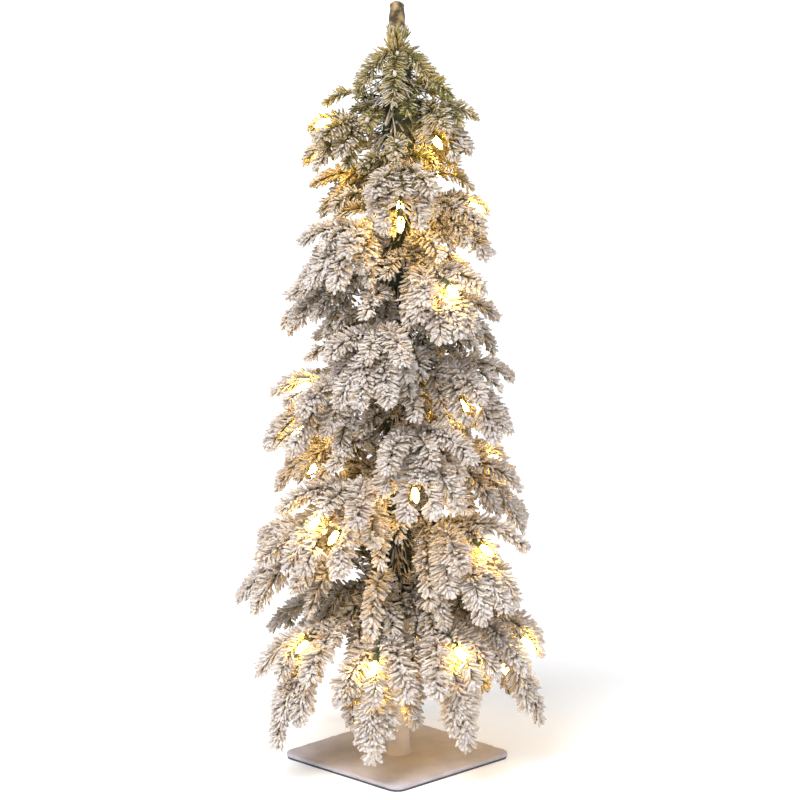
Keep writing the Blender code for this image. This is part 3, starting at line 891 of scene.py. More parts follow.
def grow_needles(
    seats: Seats,
    line: list[Vector],
    habit: NeedleHabit,
    rng: np.random.Generator,
    height: float,
    bare: float = 0.0,
    scale: float = 1.0,
    upright: bool = False,
    clear: "ClearWays | None" = None,
) -> None:
    """Seat needles and clumps along one stem.

    Args:
        seats: where they are gathered.
        line: the stem's middle line in the branch's own frame.
        habit: how the needles stand.
        rng: the random draws.
        height: the height of the frame's origin above the floor.
        bare: the share of the stem at its foot with few needles.
        scale: the needles' size against the habit's.
        upright: True where the stem stands up and its needles hug it.
        clear: the room in front of the lamps that needles leave free.
    """
    points = np.array([tuple(p) for p in line])
    length = float(np.linalg.norm(np.diff(points, axis=0), axis=1).sum())
    stations = max(int(length / habit.spacing), 4)
    for station in range(stations + 3):
        share = min((station + rng.random() * 0.8) / stations, 0.999)
        if share < bare and rng.random() > 0.28 * (share / bare) + 0.1:
            continue
        middle, direction = at_share(line, share)
        middle = np.array(middle)
        tangent = np.array(direction)
        level = np.array((tangent[0] + 0.02, tangent[1], 0.0))
        out = unit(level)
        above = unit(np.array((0.0, 0.0, 1.0)) * float(np.linalg.norm(level)) - tangent[2] * out)
        if upright:
            above = unit(np.cross(tangent, (0.0, 1.0, 0.0)))
        across = np.cross(above, tangent)
        crown = swell(height + middle[2], CROWN_START, CROWN_RISE)
        for _ in range(habit.per_station):
            if upright:
                roll = rng.uniform(-math.pi, math.pi)
            elif rng.random() < habit.top_share:
                roll = rng.uniform(-TOP_ROLL, TOP_ROLL)
            else:
                roll = rng.choice((-1.0, 1.0)) * (SIDE_ROLL + rng.normal(0.0, SIDE_ROLL_JITTER))
            around = math.cos(roll) * above + math.sin(roll) * across
            lean = habit.spread + (habit.end_spread - habit.spread) * share**2.2
            lean = math.radians(max(lean + rng.normal(0.0, LEAN_JITTER), 4.0))
            if station >= stations:
                lean *= rng.uniform(0.0, 1.0)
            aim = unit(math.cos(lean) * tangent + math.sin(lean) * around)
            aim = unit(aim + np.array((0.0, 0.0, -NEEDLE_SAG)))
            flat = abs(math.sin(roll)) ** 1.5
            reach = habit.top_length + (habit.side_length - habit.top_length) * flat
            if math.cos(roll) < -0.5:
                reach = habit.top_length
            reach *= scale * taper(share) * rng.uniform(0.85, 1.12)
            width = habit.width * (0.9 + 0.25 * rng.random())
            outer = middle[0] / FROST_REACH
            frost = habit.frost + 0.24 * min(outer, 1.2) + 0.14 * math.cos(roll)
            frost += rng.normal(0.0, FROST_JITTER) - CROWN_FROST_LOSS * crown
            tone = CROWN_TONE * crown + rng.random() * (1.0 - CROWN_TONE * crown)
            if frost < THIN_BELOW_FROST:
                width *= THIN_WIDTH
            foot = middle + around * (UPRIGHT_FOOT if upright else NEEDLE_FOOT)
            if clear and clear.blocks(foot + aim * reach * 0.75):
                continue
            seats.put(Place.NEEDLE, foot, aim, above, (reach, width, width * 0.82), frost, tone)
            if rng.random() < habit.clump_share * min(max(frost, 0.0), 1.0) ** 1.5:
                where = foot + aim * reach * rng.uniform(0.45, 1.0) + above * 0.0004
                lump = habit.clump_size * rng.uniform(0.6, 1.15)
                seats.put(Place.CLUMP, where, aim, above, (lump * 1.5, lump, lump * 0.8), 1.0, tone)
        open_here = clear is None or not clear.blocks(middle + above * 0.003)
        spine_share = (0.5 * habit.clump_share + 0.1) * (1.0 - CROWN_CLUMP_LOSS * crown)
        if rng.random() < spine_share and not upright and share > bare and open_here:
            lump = habit.clump_size * rng.uniform(1.0, 1.7)
            where = middle + above * SPINE_CLUMP_LIFT + across * rng.normal(0.0, 0.0018)
            seats.put(Place.CLUMP, where, tangent, above, (lump * 1.4, lump, lump * 0.7), 1.0, rng.random())


class ClearWays:
    """The room that needles leave in front of the lit bulbs, in one branch's own frame."""

    def __init__(self, points: list[Vector], place: Matrix) -> None:
        """Keep the points near this frame.

        Args:
            points: the points to keep clear of, in the tree's frame.
            place: where the branch's own frame stands in the tree's frame.
        """
        back = place.inverted()
        self.tree = KDTree(len(points))
        for index, point in enumerate(points):
            self.tree.insert(back @ point, index)
        self.tree.balance()

    def blocks(self, point: np.ndarray) -> bool:
        """True where a needle at this point would stand in front of a bulb."""
        return self.tree.find(Vector(point))[2] < WAY_RADIUS


# ---------------------------------------------------------------- branches


@dataclass(frozen=True)
class Fork:
    """A side tip: where it leaves the main stem, which way, and how it ends, in shares and degrees."""

    share: float
    yaw: float
    length_share: float
    extra_droop: float
    lift: float = 0.0


NARROW_FORKS = (
    Fork(0.45, 24, 0.40, 2),
    Fork(0.55, -24, 0.36, 2),
    Fork(0.28, 34, 0.46, -30, 26),
    Fork(0.33, -34, 0.44, -28, 24),
)
WIDE_FORKS = (
    Fork(0.42, 32, 0.55, 6),
    Fork(0.52, -32, 0.50, 6),
    Fork(0.25, 50, 0.48, 0),
    Fork(0.34, -50, 0.46, 0),
    Fork(0.27, 38, 0.58, -16, 36),
    Fork(0.30, -38, 0.54, -16, 34),
)
INNER_FORKS = (
    Fork(0.05, -6, 0.68, -10, 84),
    Fork(0.05, 74, 0.44, -10, 42),
    Fork(0.06, -72, 0.44, -10, 42),
    Fork(0.32, 4, 0.46, -12, 40),
    Fork(0.14, 46, 0.62, 14, -18),
    Fork(0.15, -46, 0.60, 14, -18),
)


@dataclass(frozen=True)
class Branch:
    """One branch: the sweep of its main stem, its side tips and its needles."""

    number: int
    foot: Vector
    turn: float
    length: float
    launch: float
    droop: float
    tip_radius: float
    forks: tuple[Fork, ...]

    @property
    def name(self) -> str:
        """The branch's name, which its body and its CAD node share."""
        return f"branch_{self.number:02d}"

    def main_stem(self) -> list[Vector]:
        """The middle line of the main stem, from its foot."""
        return sweep(Vector(), heading(0, self.launch), heading(0, -self.droop), self.length, 32)

    def side_stem(self, fork: Fork, stem: list[Vector]) -> list[Vector]:
        """The middle line of a side tip."""
        start, direction = at_share(stem, fork.share)
        first = heading(fork.yaw, math.degrees(math.asin(direction.z)) + fork.lift)
        last = heading(0.75 * fork.yaw, -min(86.0, self.droop + fork.extra_droop))
        return sweep(start, first, last, self.length * fork.length_share, 16)

    @property
    def place(self) -> Matrix:
        """Where the branch's own frame stands in the tree's frame."""
        return Matrix.Translation(self.foot) @ Matrix.Rotation(self.turn, 4, "Z")

    def build(self, maker: "SprayMaker", ways: list[Vector]) -> None:
        """Grow the branch and put it in place of its CAD node."""
        rng = np.random.default_rng(1000 + self.number)
        seats = Seats()
        stem = self.main_stem()
        seats.lines.append(stem)
        habit = maker.habit
        clear = ClearWays(ways, self.place)
        scale = 0.82 + 0.18 * swell(self.tip_radius, TOP_TIP_RADIUS, TIP_RADIUS - TOP_TIP_RADIUS)
        grow_needles(seats, stem, habit, rng, self.foot.z, bare=0.34, scale=scale, clear=clear)
        for fork in self.forks:
            line = self.side_stem(fork, stem)
            seats.lines.append(line)
            grow_needles(seats, line, habit, rng, self.foot.z, scale=scale, clear=clear)
        for fork in INNER_FORKS:
            line = self.side_stem(fork, stem)
            seats.lines.append(line)
            grow_needles(seats, line, maker.inner_habit, rng, self.foot.z, scale=0.9 * scale, clear=clear)
        mesh = maker.grow(self.name + "_spray", seats, self.foot, self.turn)
        show(self.name + "_spray", mesh, self.name, (self.name,))


@dataclass(frozen=True)
class SprayMaker:
    """Makes a spray's mesh from its seats."""

    tree: bpy.types.NodeTree
    needle: bpy.types.Object
    clump: bpy.types.Object
    finishes: Finishes
    habit: NeedleHabit = NeedleHabit()
    inner_habit: NeedleHabit = NeedleHabit(per_station=3, side_length=0.0125, frost=0.34, clump_share=0.14)

    def grow(self, name: str, seats: Seats, origin: Vector, turn: float) -> bpy.types.Mesh:
        """The spray's plain mesh.

        Args:
            name: the mesh's name.
            seats: the needles' and clumps' places and the stems.
            origin: where the local frame's origin stands.
            turn: the local frame's turn about z, in radians.

        Returns:
            The mesh, in place.
        """
        values = {
            "Needle": self.needle,
            "Clump": self.clump,
            "Needle Finish": self.finishes.needles,
            "Clump Finish": self.finishes.clumps,
            "Stem Finish": self.finishes.stems,
        }
        return baked_mesh(name, seats.as_mesh(name + "_seats", origin, turn), self.tree, values)


# ---------------------------------------------------------------- light string


@dataclass(frozen=True)
class Lamp:
    """A lamp on a branch: its place along the stem, and its side of it (0 on top, 180 underneath)."""

    share: float
    side: float


LAMPS = {
    1: (Lamp(0.45, 25),),
    2: (Lamp(0.45, 0), Lamp(0.52, 180)),
    3: (Lamp(0.45, 0),),
    4: (Lamp(0.55, 0), Lamp(0.58, 160)),
    6: (Lamp(0.50, 0), Lamp(0.58, 180)),
    9: (Lamp(0.55, 0),),
    11: (Lamp(0.65, 0), Lamp(0.55, 180)),
    12: (Lamp(0.45, 0), Lamp(0.60, 174)),
    13: (Lamp(0.50, 0), Lamp(0.62, 180)),
    14: (Lamp(0.65, -155),),
    15: (Lamp(0.50, 0), Lamp(0.62, 180)),
    16: (Lamp(0.45, 0), Lamp(0.65, -155)),
    17: (Lamp(0.45, -155),),
    18: (Lamp(0.50, 0), Lamp(0.62, 180)),
    22: (Lamp(0.55, 0),),
    23: (Lamp(0.50, 0), Lamp(0.62, 180)),
    25: (Lamp(0.45, 0), Lamp(0.60, 174)),
    27: (Lamp(0.46, 180), Lamp(0.68, 180)),
    28: (Lamp(0.50, 0), Lamp(0.62, 180)),
    29: (Lamp(0.42, 0), Lamp(0.65, 172)),
    30: (Lamp(0.45, -155),),
}


def lathe(
    shell: bmesh.types.BMesh, start: Vector, aim: Vector, profile: list | tuple, corners: int, finish: int
) -> None:
    """Add a turned, closed shape along an aim.

    Args:
        shell: the mesh being built, with a vertex layer named along.
        start: where the profile's zero is.
        aim: its axis.
        profile: pairs of distance along the axis and radius, whose first and last close to a point.
        corners: how many corners it has round it.
        finish: its material's number.
    """
    layer = shell.verts.layers.float["along"]
    side = aim.orthogonal().normalized()
    other = aim.cross(side)
    total = profile[-1][0] - profile[0][0]
    rings = []
    for along, radius in profile:
        share = (along - profile[0][0]) / total
        if radius == 0.0:
            ring = [shell.verts.new(start + aim * along)]
        else:
            ring = []
            for angle in ring_angles(corners):
                offset = (math.cos(angle) * side + math.sin(angle) * other) * radius
                ring.append(shell.verts.new(start + aim * along + offset))
        for vertex in ring:
            vertex[layer] = share
        rings.append(ring)
    for low, high in zip(rings, rings[1:]):
        for corner in range(corners):
            after = (corner + 1) % corners
            if len(low) == 1:
                corners_of_face = (low[0], high[after], high[corner])
            elif len(high) == 1:
                corners_of_face = (low[corner], low[after], high[0])
            else:
                corners_of_face = (low[corner], low[after], high[after], high[corner])
            face = shell.faces.new(corners_of_face)
            face.material_index = finish
            face.smooth = True


LAMP_CORNERS = 10
GROOVE_RADIUS = 0.0022
RIB_PITCH = 0.0026


def holder_profile() -> list[tuple[float, float]]:
    """A lamp holder's outline: a domed end, three ribs with grooves between them, and a flat mouth."""
    points = [(0.0, 0.0), (0.0002, 0.0014), (0.0016, 0.0018)]
    for rib in range(2):
        start = 0.0020 + RIB_PITCH * rib
        points += [(start, HOLDER_RADIUS), (start + 0.0010, HOLDER_RADIUS)]
        points += [(start + 0.0013, GROOVE_RADIUS), (start + 0.0023, GROOVE_RADIUS)]
    points += [(0.0072, HOLDER_RADIUS), (0.0088, HOLDER_RADIUS)]
    return points + [(HOLDER_LENGTH, 0.0018), (HOLDER_LENGTH, 0.0)]


BULB_PROFILE = (
    (0.0088, 0.0),
    (0.0088, 0.0017),
    (0.0104, 0.0021),
    (0.0124, 0.0026),
    (0.0150, 0.0026),
    (0.0178, 0.0023),
    (0.0200, 0.0016),
    (0.0212, 0.0008),
    (0.0220, 0.0),
)


@dataclass(frozen=True)
class LightLead:
    """The stretch of the light string that one branch carries: twisted wires, holders and lit bulbs."""

    branch: Branch
    lamps: tuple[Lamp, ...]
    steps: int = 28
    lift: float = math.radians(8.0)
    side_room: float = 0.6

    @property
    def name(self) -> str:
        """The lead's CAD node."""
        return f"light_lead_{self.branch.number:02d}"

    @staticmethod
    def start_share(index: int) -> float:
        """Where along the stem the wire of this lamp starts, so that two wires lie side by side."""
        return 0.05 + 0.02 * index

    def wire(self, lamp: Lamp, stem: list[Vector], start: float) -> tuple[list[Vector], Vector]:
        """The wire's middle line from the foot to the lamp, and the lamp's aim."""
        close = STEM_RADIUS + WIRE_RADIUS + 4 * GAP
        sideways = abs(math.sin(math.radians(lamp.side)))
        widening = 1 + self.side_room * sideways
        clear = self.branch.tip_radius * widening + HOLDER_RADIUS + 2 * GAP
        points = []
        away = Vector()
        direction = Vector()
        for step in range(self.steps + 1):
            share = start + (lamp.share - start) * step / self.steps
            middle, direction = at_share(stem, share)
            side = math.radians(lamp.side * swell(share, 0.08, 0.15))
            above = Vector((-direction.z, 0.0, direction.x))
            away = math.cos(side) * above + math.sin(side) * Vector((0.0, 1.0, 0.0))
            climb = swell(share, 0.18, 0.26)
            points.append(middle + away * (close + (clear - close) * climb))
        return points, math.cos(self.lift) * direction + math.sin(self.lift) * away

    def ways_out(self) -> list[Vector]:
        """Points along each bulb and out from it, in the tree's frame, that needles keep clear of."""
        stem = self.branch.main_stem()
        points = []
        for index, lamp in enumerate(self.lamps):
            wire, aim = self.wire(lamp, stem, self.start_share(index))
            for reach in (0.3, 0.8):
                bulb = self.branch.place @ (wire[-1] + aim * (HOLDER_LENGTH + reach * BULB_LENGTH))
                out = Vector((bulb.x, bulb.y, 0.0)).normalized()
                if out.dot(DISPLAY_SIDE) > 0.2:
                    out = (0.5 * out + DISPLAY_SIDE).normalized()
                out = (out + Vector((0.0, 0.0, WAY_CLIMB))).normalized()
                steps = 5 if abs(lamp.side) < 90 else 4
                points += [bulb + out * WAY_STEP * step for step in range(steps)]
        return points

    def build(self, strands: bpy.types.NodeTree, finishes: Finishes) -> None:
        """Make the lead and put it in place of its CAD node."""
        stem = self.branch.main_stem()
        turn = Matrix.Rotation(self.branch.turn, 4, "Z")
        place = self.branch.place
        lines = []
        shell = bmesh.new()
        shell.verts.layers.float.new("along")
        for index, lamp in enumerate(self.lamps):
            points, aim = self.wire(lamp, stem, self.start_share(index))
            lines.append([place @ point for point in points])
            for number, profile in enumerate((holder_profile(), BULB_PROFILE), 1):
                lathe(shell, place @ points[-1], (turn @ aim).normalized(), profile, LAMP_CORNERS, number)
        mesh = wire_mesh(self.name + "_wire", lines, strands, finishes.wire, WIRE_RADIUS)
        shell.from_mesh(mesh)
        bmesh.ops.recalc_face_normals(shell, faces=shell.faces)
        mesh.materials.clear()
        for material in (finishes.wire, finishes.holder, finishes.bulb):
            mesh.materials.append(material)
        shell.to_mesh(mesh)
        shell.free()
        show(self.name + "_lamps", mesh, self.branch.name, (self.name,))


def wire_mesh(
    name: str,
    lines: list[list[Vector]],
    strands: bpy.types.NodeTree,
    finish: bpy.types.Material,
    radius: float,
    turn_length: float = 0.006,
    flatness: float = 0.55,
    corners: int = 6,
) -> bpy.types.Mesh:
    """A plain mesh of twisted wire along some lines."""
    data = bpy.data.meshes.new(name + "_lines")
    points = [tuple(point) for line in lines for point in line]
    data.from_pydata(points, chain_edges(lines), [])
    values = {
        "Radius": radius,
        "Flatness": flatness,
        "Turn Length": turn_length,
        "Corners": corners,
        "Finish": finish,
    }
    return baked_mesh(name, data, strands, values)


@dataclass(frozen=True)
class TrunkString:
    """The light string's run up the pole."""

    node: str = "light_string_trunk"
    radius: float = 0.0011
    start_turn: float = -75.0
    steps: int = 420

    def build(self, strands: bpy.types.NodeTree, finishes: Finishes) -> None:
        """Make the string and put it in place of its CAD node."""
        low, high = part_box(self.node)
        spacing = (LAST_SPIRAL_HEIGHT - FIRST_SPIRAL_HEIGHT) / (SPIRAL_COUNT - 1)
        climb = (3 * GOLDEN_TURN - 360) / (3 * spacing)
        reach = WRAP_RADIUS + self.radius + GAP
        points = []
        for step in range(self.steps + 1):
            height = low.z + self.radius + (high.z - low.z - 2 * self.radius) * step / self.steps
            angle = math.radians(self.start_turn + climb * (height - FIRST_SPIRAL_HEIGHT))
            points.append(Vector((reach * math.cos(angle), reach * math.sin(angle), height)))
        mesh = wire_mesh("trunk_string", [points], strands, finishes.wire, self.radius)
        show("trunk_string", mesh, "stand", (self.node,))


# ---------------------------------------------------------------- leader


@dataclass(frozen=True)
class Sprig:
    """A short tip at the leader's foot: its turn from the display side, its start, sweep and length."""

    turn: float
    rise: float
    launch: float
    droop: float
    length: float


SPRIGS = (
    Sprig(-125, 0.016, -30, 58, 0.048),
    Sprig(-62, 0.017, -32, 58, 0.046),
    Sprig(-5, 0.016, -30, 56, 0.050),
    Sprig(55, 0.018, -24, 54, 0.040),
    Sprig(112, 0.016, -32, 58, 0.046),
    Sprig(172, 0.017, -30, 58, 0.048),
)


@dataclass(frozen=True)
class Leader:
    """The upright shoot at the top, with short tips at its foot and a bare twisted end.

    Attributes:
        length: from the hinge to the top of the CAD piece.
        foot_length: from the hinge to the lowest needles.
        bare_length: how much of the top has no needles.
        round_end: how much of the bare end is rounded over.
        tip_room: how much shorter the needled line is, since needles reach past its end.
        end_radius: the bare twist's radius.
        end_overlap: how far the bare twist starts below the end of the needled stem.
        end_growth: how much longer the bare twist is than the bare length.
        end_steps: how many steps it is made of.
        blunt_share: the least its rounded end narrows to, as the square of a share.
        display_turn: the turn of the sprigs' zero about z, in radians.
    """

    length: float = 0.052
    foot_length: float = 0.006
    bare_length: float = 0.013
    round_end: float = 0.0035
    tip_room: float = 0.018
    end_radius: float = 0.0064
    end_overlap: float = 0.006
    end_growth: float = 0.005
    end_steps: int = 26
    blunt_share: float = 0.14
    display_turn: float = math.radians(-45.0)

    def build(self, maker: SprayMaker, strands: bpy.types.NodeTree, ways: list[Vector]) -> None:
        """Make the leader and put it in place of its CAD node."""
        foot = Vector(joint_of("leader_bend")["pos_m"])
        rng = np.random.default_rng(77)
        seats = Seats()
        needled = self.length - self.bare_length
        grown = needled - self.tip_room
        stem = [Vector((0.0, 0.0, needled * step / 12)) for step in range(13)]
        shoot = [Vector((0.0, 0.0, self.foot_length + grown * step / 12)) for step in range(13)]
        seats.lines.append(stem)
        habit = NeedleHabit(
            spacing=0.0010,
            per_station=9,
            side_length=0.0115,
            top_length=0.0115,
            width=0.0019,
            spread=26.0,
            end_spread=13.0,
            frost=0.74,
            clump_share=0.30,
        )
        grow_needles(seats, shoot, habit, rng, foot.z, upright=True)
        sprig_habit = NeedleHabit(frost=0.50, side_length=0.0125, width=0.0015, clump_share=0.16)
        place = Matrix.Translation(foot) @ Matrix.Rotation(self.display_turn, 4, "Z")
        clear = ClearWays(ways, place)
        for sprig in SPRIGS:
            first = heading(sprig.turn, sprig.launch)
            last = heading(sprig.turn, -sprig.droop)
            line = sweep(Vector((0.0, 0.0, sprig.rise)), first, last, sprig.length, 20)
            seats.lines.append(line)
            grow_needles(seats, line, sprig_habit, rng, foot.z, bare=0.2, scale=0.9, clear=clear)
        mesh = maker.grow("leader_shoot", seats, foot, self.display_turn)
        end = []
        end_length = self.bare_length + self.end_growth
        for step in range(self.end_steps + 1):
            height = needled - self.end_overlap + end_length * step / self.end_steps
            end.append(foot + Vector((0.0, 0.0, height)))
        twist = wire_mesh(
            "bare_end",
            [end],
            strands,
            maker.finishes.bare_end,
            self.end_radius,
            turn_length=0.034,
            flatness=0.86,
            corners=14,
        )
        top = end[-1].z
        for vertex in twist.vertices:
            over = (vertex.co.z - top + self.round_end) / self.round_end
            if over > 0.0:
                share = math.sqrt(max(1.0 - over * over, self.blunt_share))
                vertex.co.x *= share
                vertex.co.y *= share
        shell = bmesh.new()
        shell.from_mesh(mesh)
        first_new = len(shell.faces)
        shell.from_mesh(twist)
        shell.faces.ensure_lookup_table()
        number = len(mesh.materials)
        for face in shell.faces[first_new:]:
            face.material_index = number
        shell.to_mesh(mesh)
        shell.free()
        mesh.materials.append(maker.finishes.bare_end)
        show("leader_shoot", mesh, "leader", ("leader",))


@dataclass(frozen=True)
class TrunkGarland:
    """Short needles tied in all the way up the pole, which hide its tape between the branches."""

    top: float = 0.5535
    low_gap: float = 0.004
    stations: int = 200
    per_station: int = 11
    foot_radius: float = 0.0108
    shortest: float = 0.012
    longest: float = 0.021
    width: float = 0.0016
    frost: float = 0.34
    clump_share: float = 0.05

    def build(self, maker: SprayMaker) -> None:
        """Make the garland on the stand."""
        low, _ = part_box("trunk_wrap")
        bottom = low.z + self.low_gap
        rng = np.random.default_rng(55)
        seats = Seats()
        face = np.array((0.0, 0.0, 1.0))
        for station in range(self.stations):
            height = bottom + (self.top - bottom) * (station + rng.random()) / self.stations
            for _ in range(self.per_station):
                around = rng.uniform(0.0, 2 * math.pi)
                out = np.array((math.cos(around), math.sin(around), 0.0))
                aim = unit(out + np.array((0.0, 0.0, rng.normal(-0.35, 0.35))) + rng.normal(0.0, 0.25, 3))
                width = self.width * rng.uniform(0.8, 1.2)
                reach = rng.uniform(self.shortest, self.longest)
                foot = out * self.foot_radius + np.array((0.0, 0.0, height))
                frost = rng.normal(self.frost, 0.16)
                size = (reach, width, width * 0.8)
                seats.put(Place.NEEDLE, foot, aim, face, size, frost, rng.random())
                if rng.random() < self.clump_share:
                    where = foot + aim * reach * 0.9
                    seats.put(Place.CLUMP, where, aim, face, (0.003, 0.002, 0.0016), 1.0, 0.5)
        mesh = maker.grow("trunk_garland", seats, Vector(), 0.0)
        piece = in_scene("trunk_garland", mesh)
        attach(piece, "stand")
        LOG.info("trunk_garland: %d faces", len(mesh.polygons))


# ---------------------------------------------------------------- stand


@dataclass(frozen=True)
class Plate:
    """The flocked steel plate, with an uneven crust on top and round its edge."""

    corner_steps: int = 8
    side_steps: int = 40
    edge_flock: float = 0.0005
    top_flock: float = 0.0005
    first_inset: float = 0.0042
    inset_step: float = 0.0021

    def loop(self, inset: float, height: float) -> list[Vector]:
        """A rounded square, this far inside the plate's edge, at this height."""
        half = PLATE_WIDTH / 2 - inset
        corner = max(PLATE_CORNER - inset, 0.0008)
        corner = min(corner, half * 0.5)
        centre = half - corner
        points = []
        for quarter in range(4):
            spin = Matrix.Rotation(math.radians(90 * quarter), 2)
            middle = spin @ Vector((centre, centre))
            for step in range(self.corner_steps + 1):
                angle = math.radians(90 * (quarter + step / self.corner_steps))
                edge = corner * Vector((math.cos(angle), math.sin(angle)))
                points.append(Vector((*(middle + edge), height)))
            begin = points[-1].copy()
            spin_next = Matrix.Rotation(math.radians(90 * (quarter + 1)), 2)
            after = spin_next @ Vector((centre, centre))
            angle = math.radians(90 * (quarter + 1))
            finish = Vector((*(after + corner * Vector((math.cos(angle), math.sin(angle)))), height))
            for step in range(1, self.side_steps):
                points.append(begin.lerp(finish, step / self.side_steps))
        return points

    def build(self, finishes: Finishes) -> None:
        """Make the plate and put it in place of its CAD node."""
        low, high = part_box("base_plate")
        profile = [(0.0030, low.z), (0.0006, low.z), (0.0, low.z + 0.0007), (0.0, high.z - 0.0010)]
        profile += [(0.0003, high.z - 0.0003), (0.0009, high.z), (0.0022, high.z + 0.0001)]
        inset = self.first_inset
        while inset < PLATE_WIDTH / 2 - 0.002:
            profile.append((inset, high.z + 0.0001))
            inset += self.inset_step
        shell = bmesh.new()
        loops = []
        for inset, height in profile:
            ring = []
            for point in self.loop(inset, height):
                outward = Vector((point.x, point.y, 0.0)).normalized()
                rough = roughness_at(point, 260.0, 700.0)
                if height > low.z + 0.0005:
                    if inset < 0.001:
                        point = point + outward * self.edge_flock * rough
                    if height > high.z - 0.0005:
                        point.z += self.top_flock * (0.5 + 0.6 * rough)
                ring.append(shell.verts.new(point))
            loops.append(ring)
        for outer, inner in zip(loops, loops[1:]):
            count = len(outer)
            for index in range(count):
                after = (index + 1) % count
                shell.faces.new((outer[index], outer[after], inner[after], inner[index]))
        shell.faces.new(list(reversed(loops[0])))
        shell.faces.new(loops[-1])
        bmesh.ops.recalc_face_normals(shell, faces=shell.faces)
        for face in shell.faces:
            face.smooth = True
        mesh = bpy.data.meshes.new("flocked_plate")
        shell.to_mesh(mesh)
        shell.free()
        mesh.materials.append(finishes.plate)
        show("flocked_plate", mesh, "stand", ("base_plate",))


@dataclass(frozen=True)
class Pole:
    """The steel pole with a crust of flock on its outside."""

    wall: float = 0.0012
    corners: int = 44
    ring_height: float = 0.0022
    flock: float = 0.0006
    flocked_height: float = 0.12
    fillet: float = 0.0022
    fillet_height: float = 0.012

    def build(self, finishes: Finishes) -> None:
        """Make the pole and put it in place of its CAD node."""
        low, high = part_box("pole")
        outer = high.x
        inner = outer - self.wall
        shell = bmesh.new()
        heights = [low.z]
        while heights[-1] < high.z - self.ring_height:
            heights.append(heights[-1] + self.ring_height)
        heights.append(high.z)
        loops = []
        for height in heights:
            ring = []
            for angle in ring_angles(self.corners):
                point = Vector((outer * math.cos(angle), outer * math.sin(angle), height))
                rough = roughness_at(point, 240.0, 640.0)
                crust = self.flock * (0.3 + 0.5 * rough) * (height < self.flocked_height)
                crust += self.fillet * (1.0 - swell(height, low.z, self.fillet_height)) ** 2
                grown = 1 + crust / outer
                ring.append(shell.verts.new((point.x * grown, point.y * grown, height)))
            loops.append(ring)
        for height in (high.z, low.z):
            ring = []
            for angle in ring_angles(self.corners):
                ring.append(shell.verts.new((inner * math.cos(angle), inner * math.sin(angle), height)))
            loops.append(ring)
        for first, second in zip(loops, loops[1:] + loops[:1]):
            for index in range(self.corners):
                after = (index + 1) % self.corners
                shell.faces.new((first[index], first[after], second[after], second[index]))
        bmesh.ops.recalc_face_normals(shell, faces=shell.faces)
        mesh = bpy.data.meshes.new("flocked_pole")
        shell.to_mesh(mesh)
        shell.free()
        mesh.shade_smooth()
        mesh.set_sharp_from_angle(angle=math.radians(50))
        mesh.materials.append(finishes.pole)
        show("flocked_pole", mesh, "stand", ("pole",))


def dress_cad_nodes(finishes: Finishes) -> None:
    """Give the CAD nodes that stay their finishes."""
    kept = {
        # the pad's dark foam also stands in for the shade line under the plate's edge: partly painted shade
        "base_pad": finishes.foam_and_edge_shade,
        "base_screw": finishes.zinc,
        "pole_plug": finishes.plastic,
        "leader_socket": finishes.plastic,
        "trunk_wrap": finishes.tape,
    }
    for name, material in kept.items():
        data = frame["nodes"][name].data
        data.materials.clear()
        data.materials.append(material)
        LOG.info("%s dressed", name)


# ---------------------------------------------------------------- studio


@dataclass(frozen=True)
class SoftLight:
    """A wide, far light: its turn from the camera, its elevation and its width in degrees, and its power."""

    name: str
    turn: float
    elevation: float
    softness: float
    power: float


LIGHTS = (
    SoftLight("key", -32, 50, 35, 2.75),
    SoftLight("fill", 60, 35, 60, 0.5),
    SoftLight("back", 170, 50, 50, 0.5),
)


@dataclass(frozen=True)
class Studio:
    """Pale floor, soft lights and a long-lens camera at the display corner."""

    azimuth: float = 45.0
    elevation: float = 16.3
    distance: float = 8.0
    view_width: float = 0.619
    aim_height: float = 0.291
    aim_side: float = 0.0023
    world_light: float = 0.40
    floor_reach: float = 14.0

    def direction(self, azimuth: float, elevation: float) -> Vector:
        """The way from the tree to something at this azimuth and elevation."""
        side, up = math.radians(azimuth), math.radians(elevation)
        return Vector((math.sin(side) * math.cos(up), -math.cos(side) * math.cos(up), math.sin(up)))

    def add_light(self, soft: SoftLight) -> None:
        """Add one light, which looks at the tree."""
        data = bpy.data.lights.new(soft.name, "SUN")
        data.angle = math.radians(soft.softness)
        data.energy = soft.power
        light = in_scene(soft.name, data)
        back = self.direction(self.azimuth + soft.turn, soft.elevation)
        light.location = Vector((0.0, 0.0, 0.3)) + back * 3.0
        light.rotation_euler = (-back).to_track_quat("-Z", "Y").to_euler()

    def build(self, finishes: Finishes) -> None:
        """Make the floor, the lights, the world and the camera."""
        mesh = bpy.data.meshes.new("floor")
        corners = [(-1, -1), (1, -1), (1, 1), (-1, 1)]
        points = [(x * self.floor_reach, y * self.floor_reach, 0.0) for x, y in corners]
        mesh.from_pydata(points, [], [(0, 1, 2, 3)])
        mesh.materials.append(finishes.floor)
        floor = in_scene("floor", mesh)
        for soft in LIGHTS:
            self.add_light(soft)
        world = bpy.data.worlds.new("studio")
        world.use_nodes = True
        background = world.node_tree.nodes["Background"]
        background.inputs["Color"].default_value = (1.0, 1.0, 1.0, 1.0)
        background.inputs["Strength"].default_value = self.world_light
        bpy.context.scene.world = world
        bpy.context.scene.view_settings.view_transform = "Standard"
        data = bpy.data.cameras.new("camera")
        data.lens = data.sensor_width * self.distance / self.view_width
        data.clip_end = 100.0
        camera = in_scene("camera", data)
        back = self.direction(self.azimuth, self.elevation)
        right = Vector((0.0, 0.0, 1.0)).cross(back).normalized()
        camera.location = Vector((0.0, 0.0, self.aim_height)) + right * self.aim_side + back * self.distance
        camera.rotation_euler = (-back).to_track_quat("-Z", "Y").to_euler()
        bpy.context.scene.camera = camera


# ---------------------------------------------------------------- the whole tree


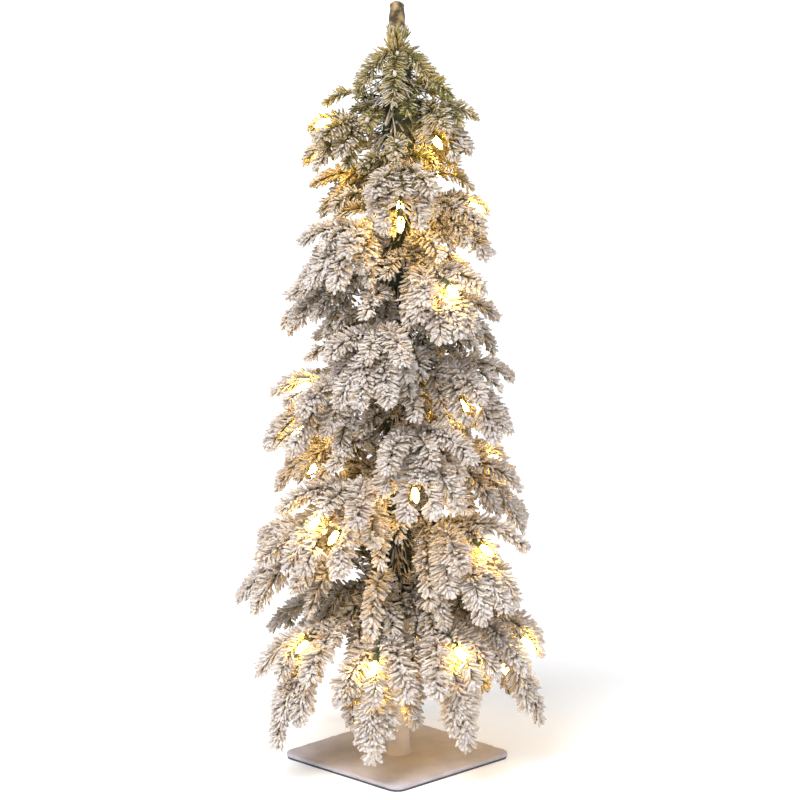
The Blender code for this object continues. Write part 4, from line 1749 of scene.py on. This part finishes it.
def joint_of(name: str) -> dict:
    """The frame's joint of this name."""
    return next(joint for joint in frame["joints"] if joint["name"] == name)


def hinge_of(number: int) -> tuple[Vector, float]:
    """A branch's foot, and its turn about z in radians, from its joint."""
    joint = joint_of(f"branch_{number:02d}_bend")
    axis = Vector(joint["axis"])
    outward = Vector((0.0, 0.0, 1.0)).cross(axis)
    return Vector(joint["pos_m"]), math.atan2(outward.y, outward.x)


def lay_out_branches() -> list[Branch]:
    """The skirt of narrow sprays round the bottom, then the rising spiral of wide ones."""
    branches = []
    for index, (length, launch, droop) in enumerate(zip(SKIRT_LENGTHS, SKIRT_LAUNCHES, SKIRT_DROOPS)):
        foot, turn = hinge_of(index + 1)
        branches.append(Branch(index + 1, foot, turn, length, launch, droop, TIP_RADIUS, NARROW_FORKS))
    for index in range(SPIRAL_COUNT):
        rise = index / (SPIRAL_COUNT - 1)
        waver = math.sin(2.4 * index + 0.7)
        number = index + 1 + SKIRT_COUNT
        foot, turn = hinge_of(number)
        branches.append(
            Branch(
                number=number,
                foot=foot,
                turn=turn,
                length=(BOTTOM_LENGTH + (TOP_LENGTH - BOTTOM_LENGTH) * rise) * (1 + LENGTH_WAVER * waver),
                launch=BOTTOM_LAUNCH + (TOP_LAUNCH - BOTTOM_LAUNCH) * rise + ANGLE_WAVER * waver,
                droop=BOTTOM_DROOP + (TOP_DROOP - BOTTOM_DROOP) * rise - ANGLE_WAVER * waver,
                tip_radius=TIP_RADIUS + (TOP_TIP_RADIUS - TIP_RADIUS) * rise,
                forks=WIDE_FORKS,
            )
        )
    return branches


def main() -> None:
    """Build the looks of the whole tree."""
    logging.basicConfig(level=logging.INFO, format="%(message)s")
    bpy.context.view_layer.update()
    finishes = make_finishes()
    strands = strand_tree()
    maker = SprayMaker(
        tree=spray_tree(strands),
        needle=helper("needle_shape", needle_shape()),
        clump=helper("clump_shape", clump_shape()),
        finishes=finishes,
    )
    branches = lay_out_branches()
    leads = [LightLead(branch, LAMPS[branch.number]) for branch in branches if branch.number in LAMPS]
    ways = [point for lead in leads for point in lead.ways_out()]
    for branch in branches:
        branch.build(maker, ways)
    for lead in leads:
        lead.build(strands, finishes)
    TrunkString().build(strands, finishes)
    Leader().build(maker, strands, ways)
    TrunkGarland().build(maker)
    Plate().build(finishes)
    Pole().build(finishes)
    dress_cad_nodes(finishes)
    Studio().build(finishes)
    for shape in (maker.needle, maker.clump):
        bpy.data.objects.remove(shape, do_unlink=True)


if __name__ == "__main__":
    main()
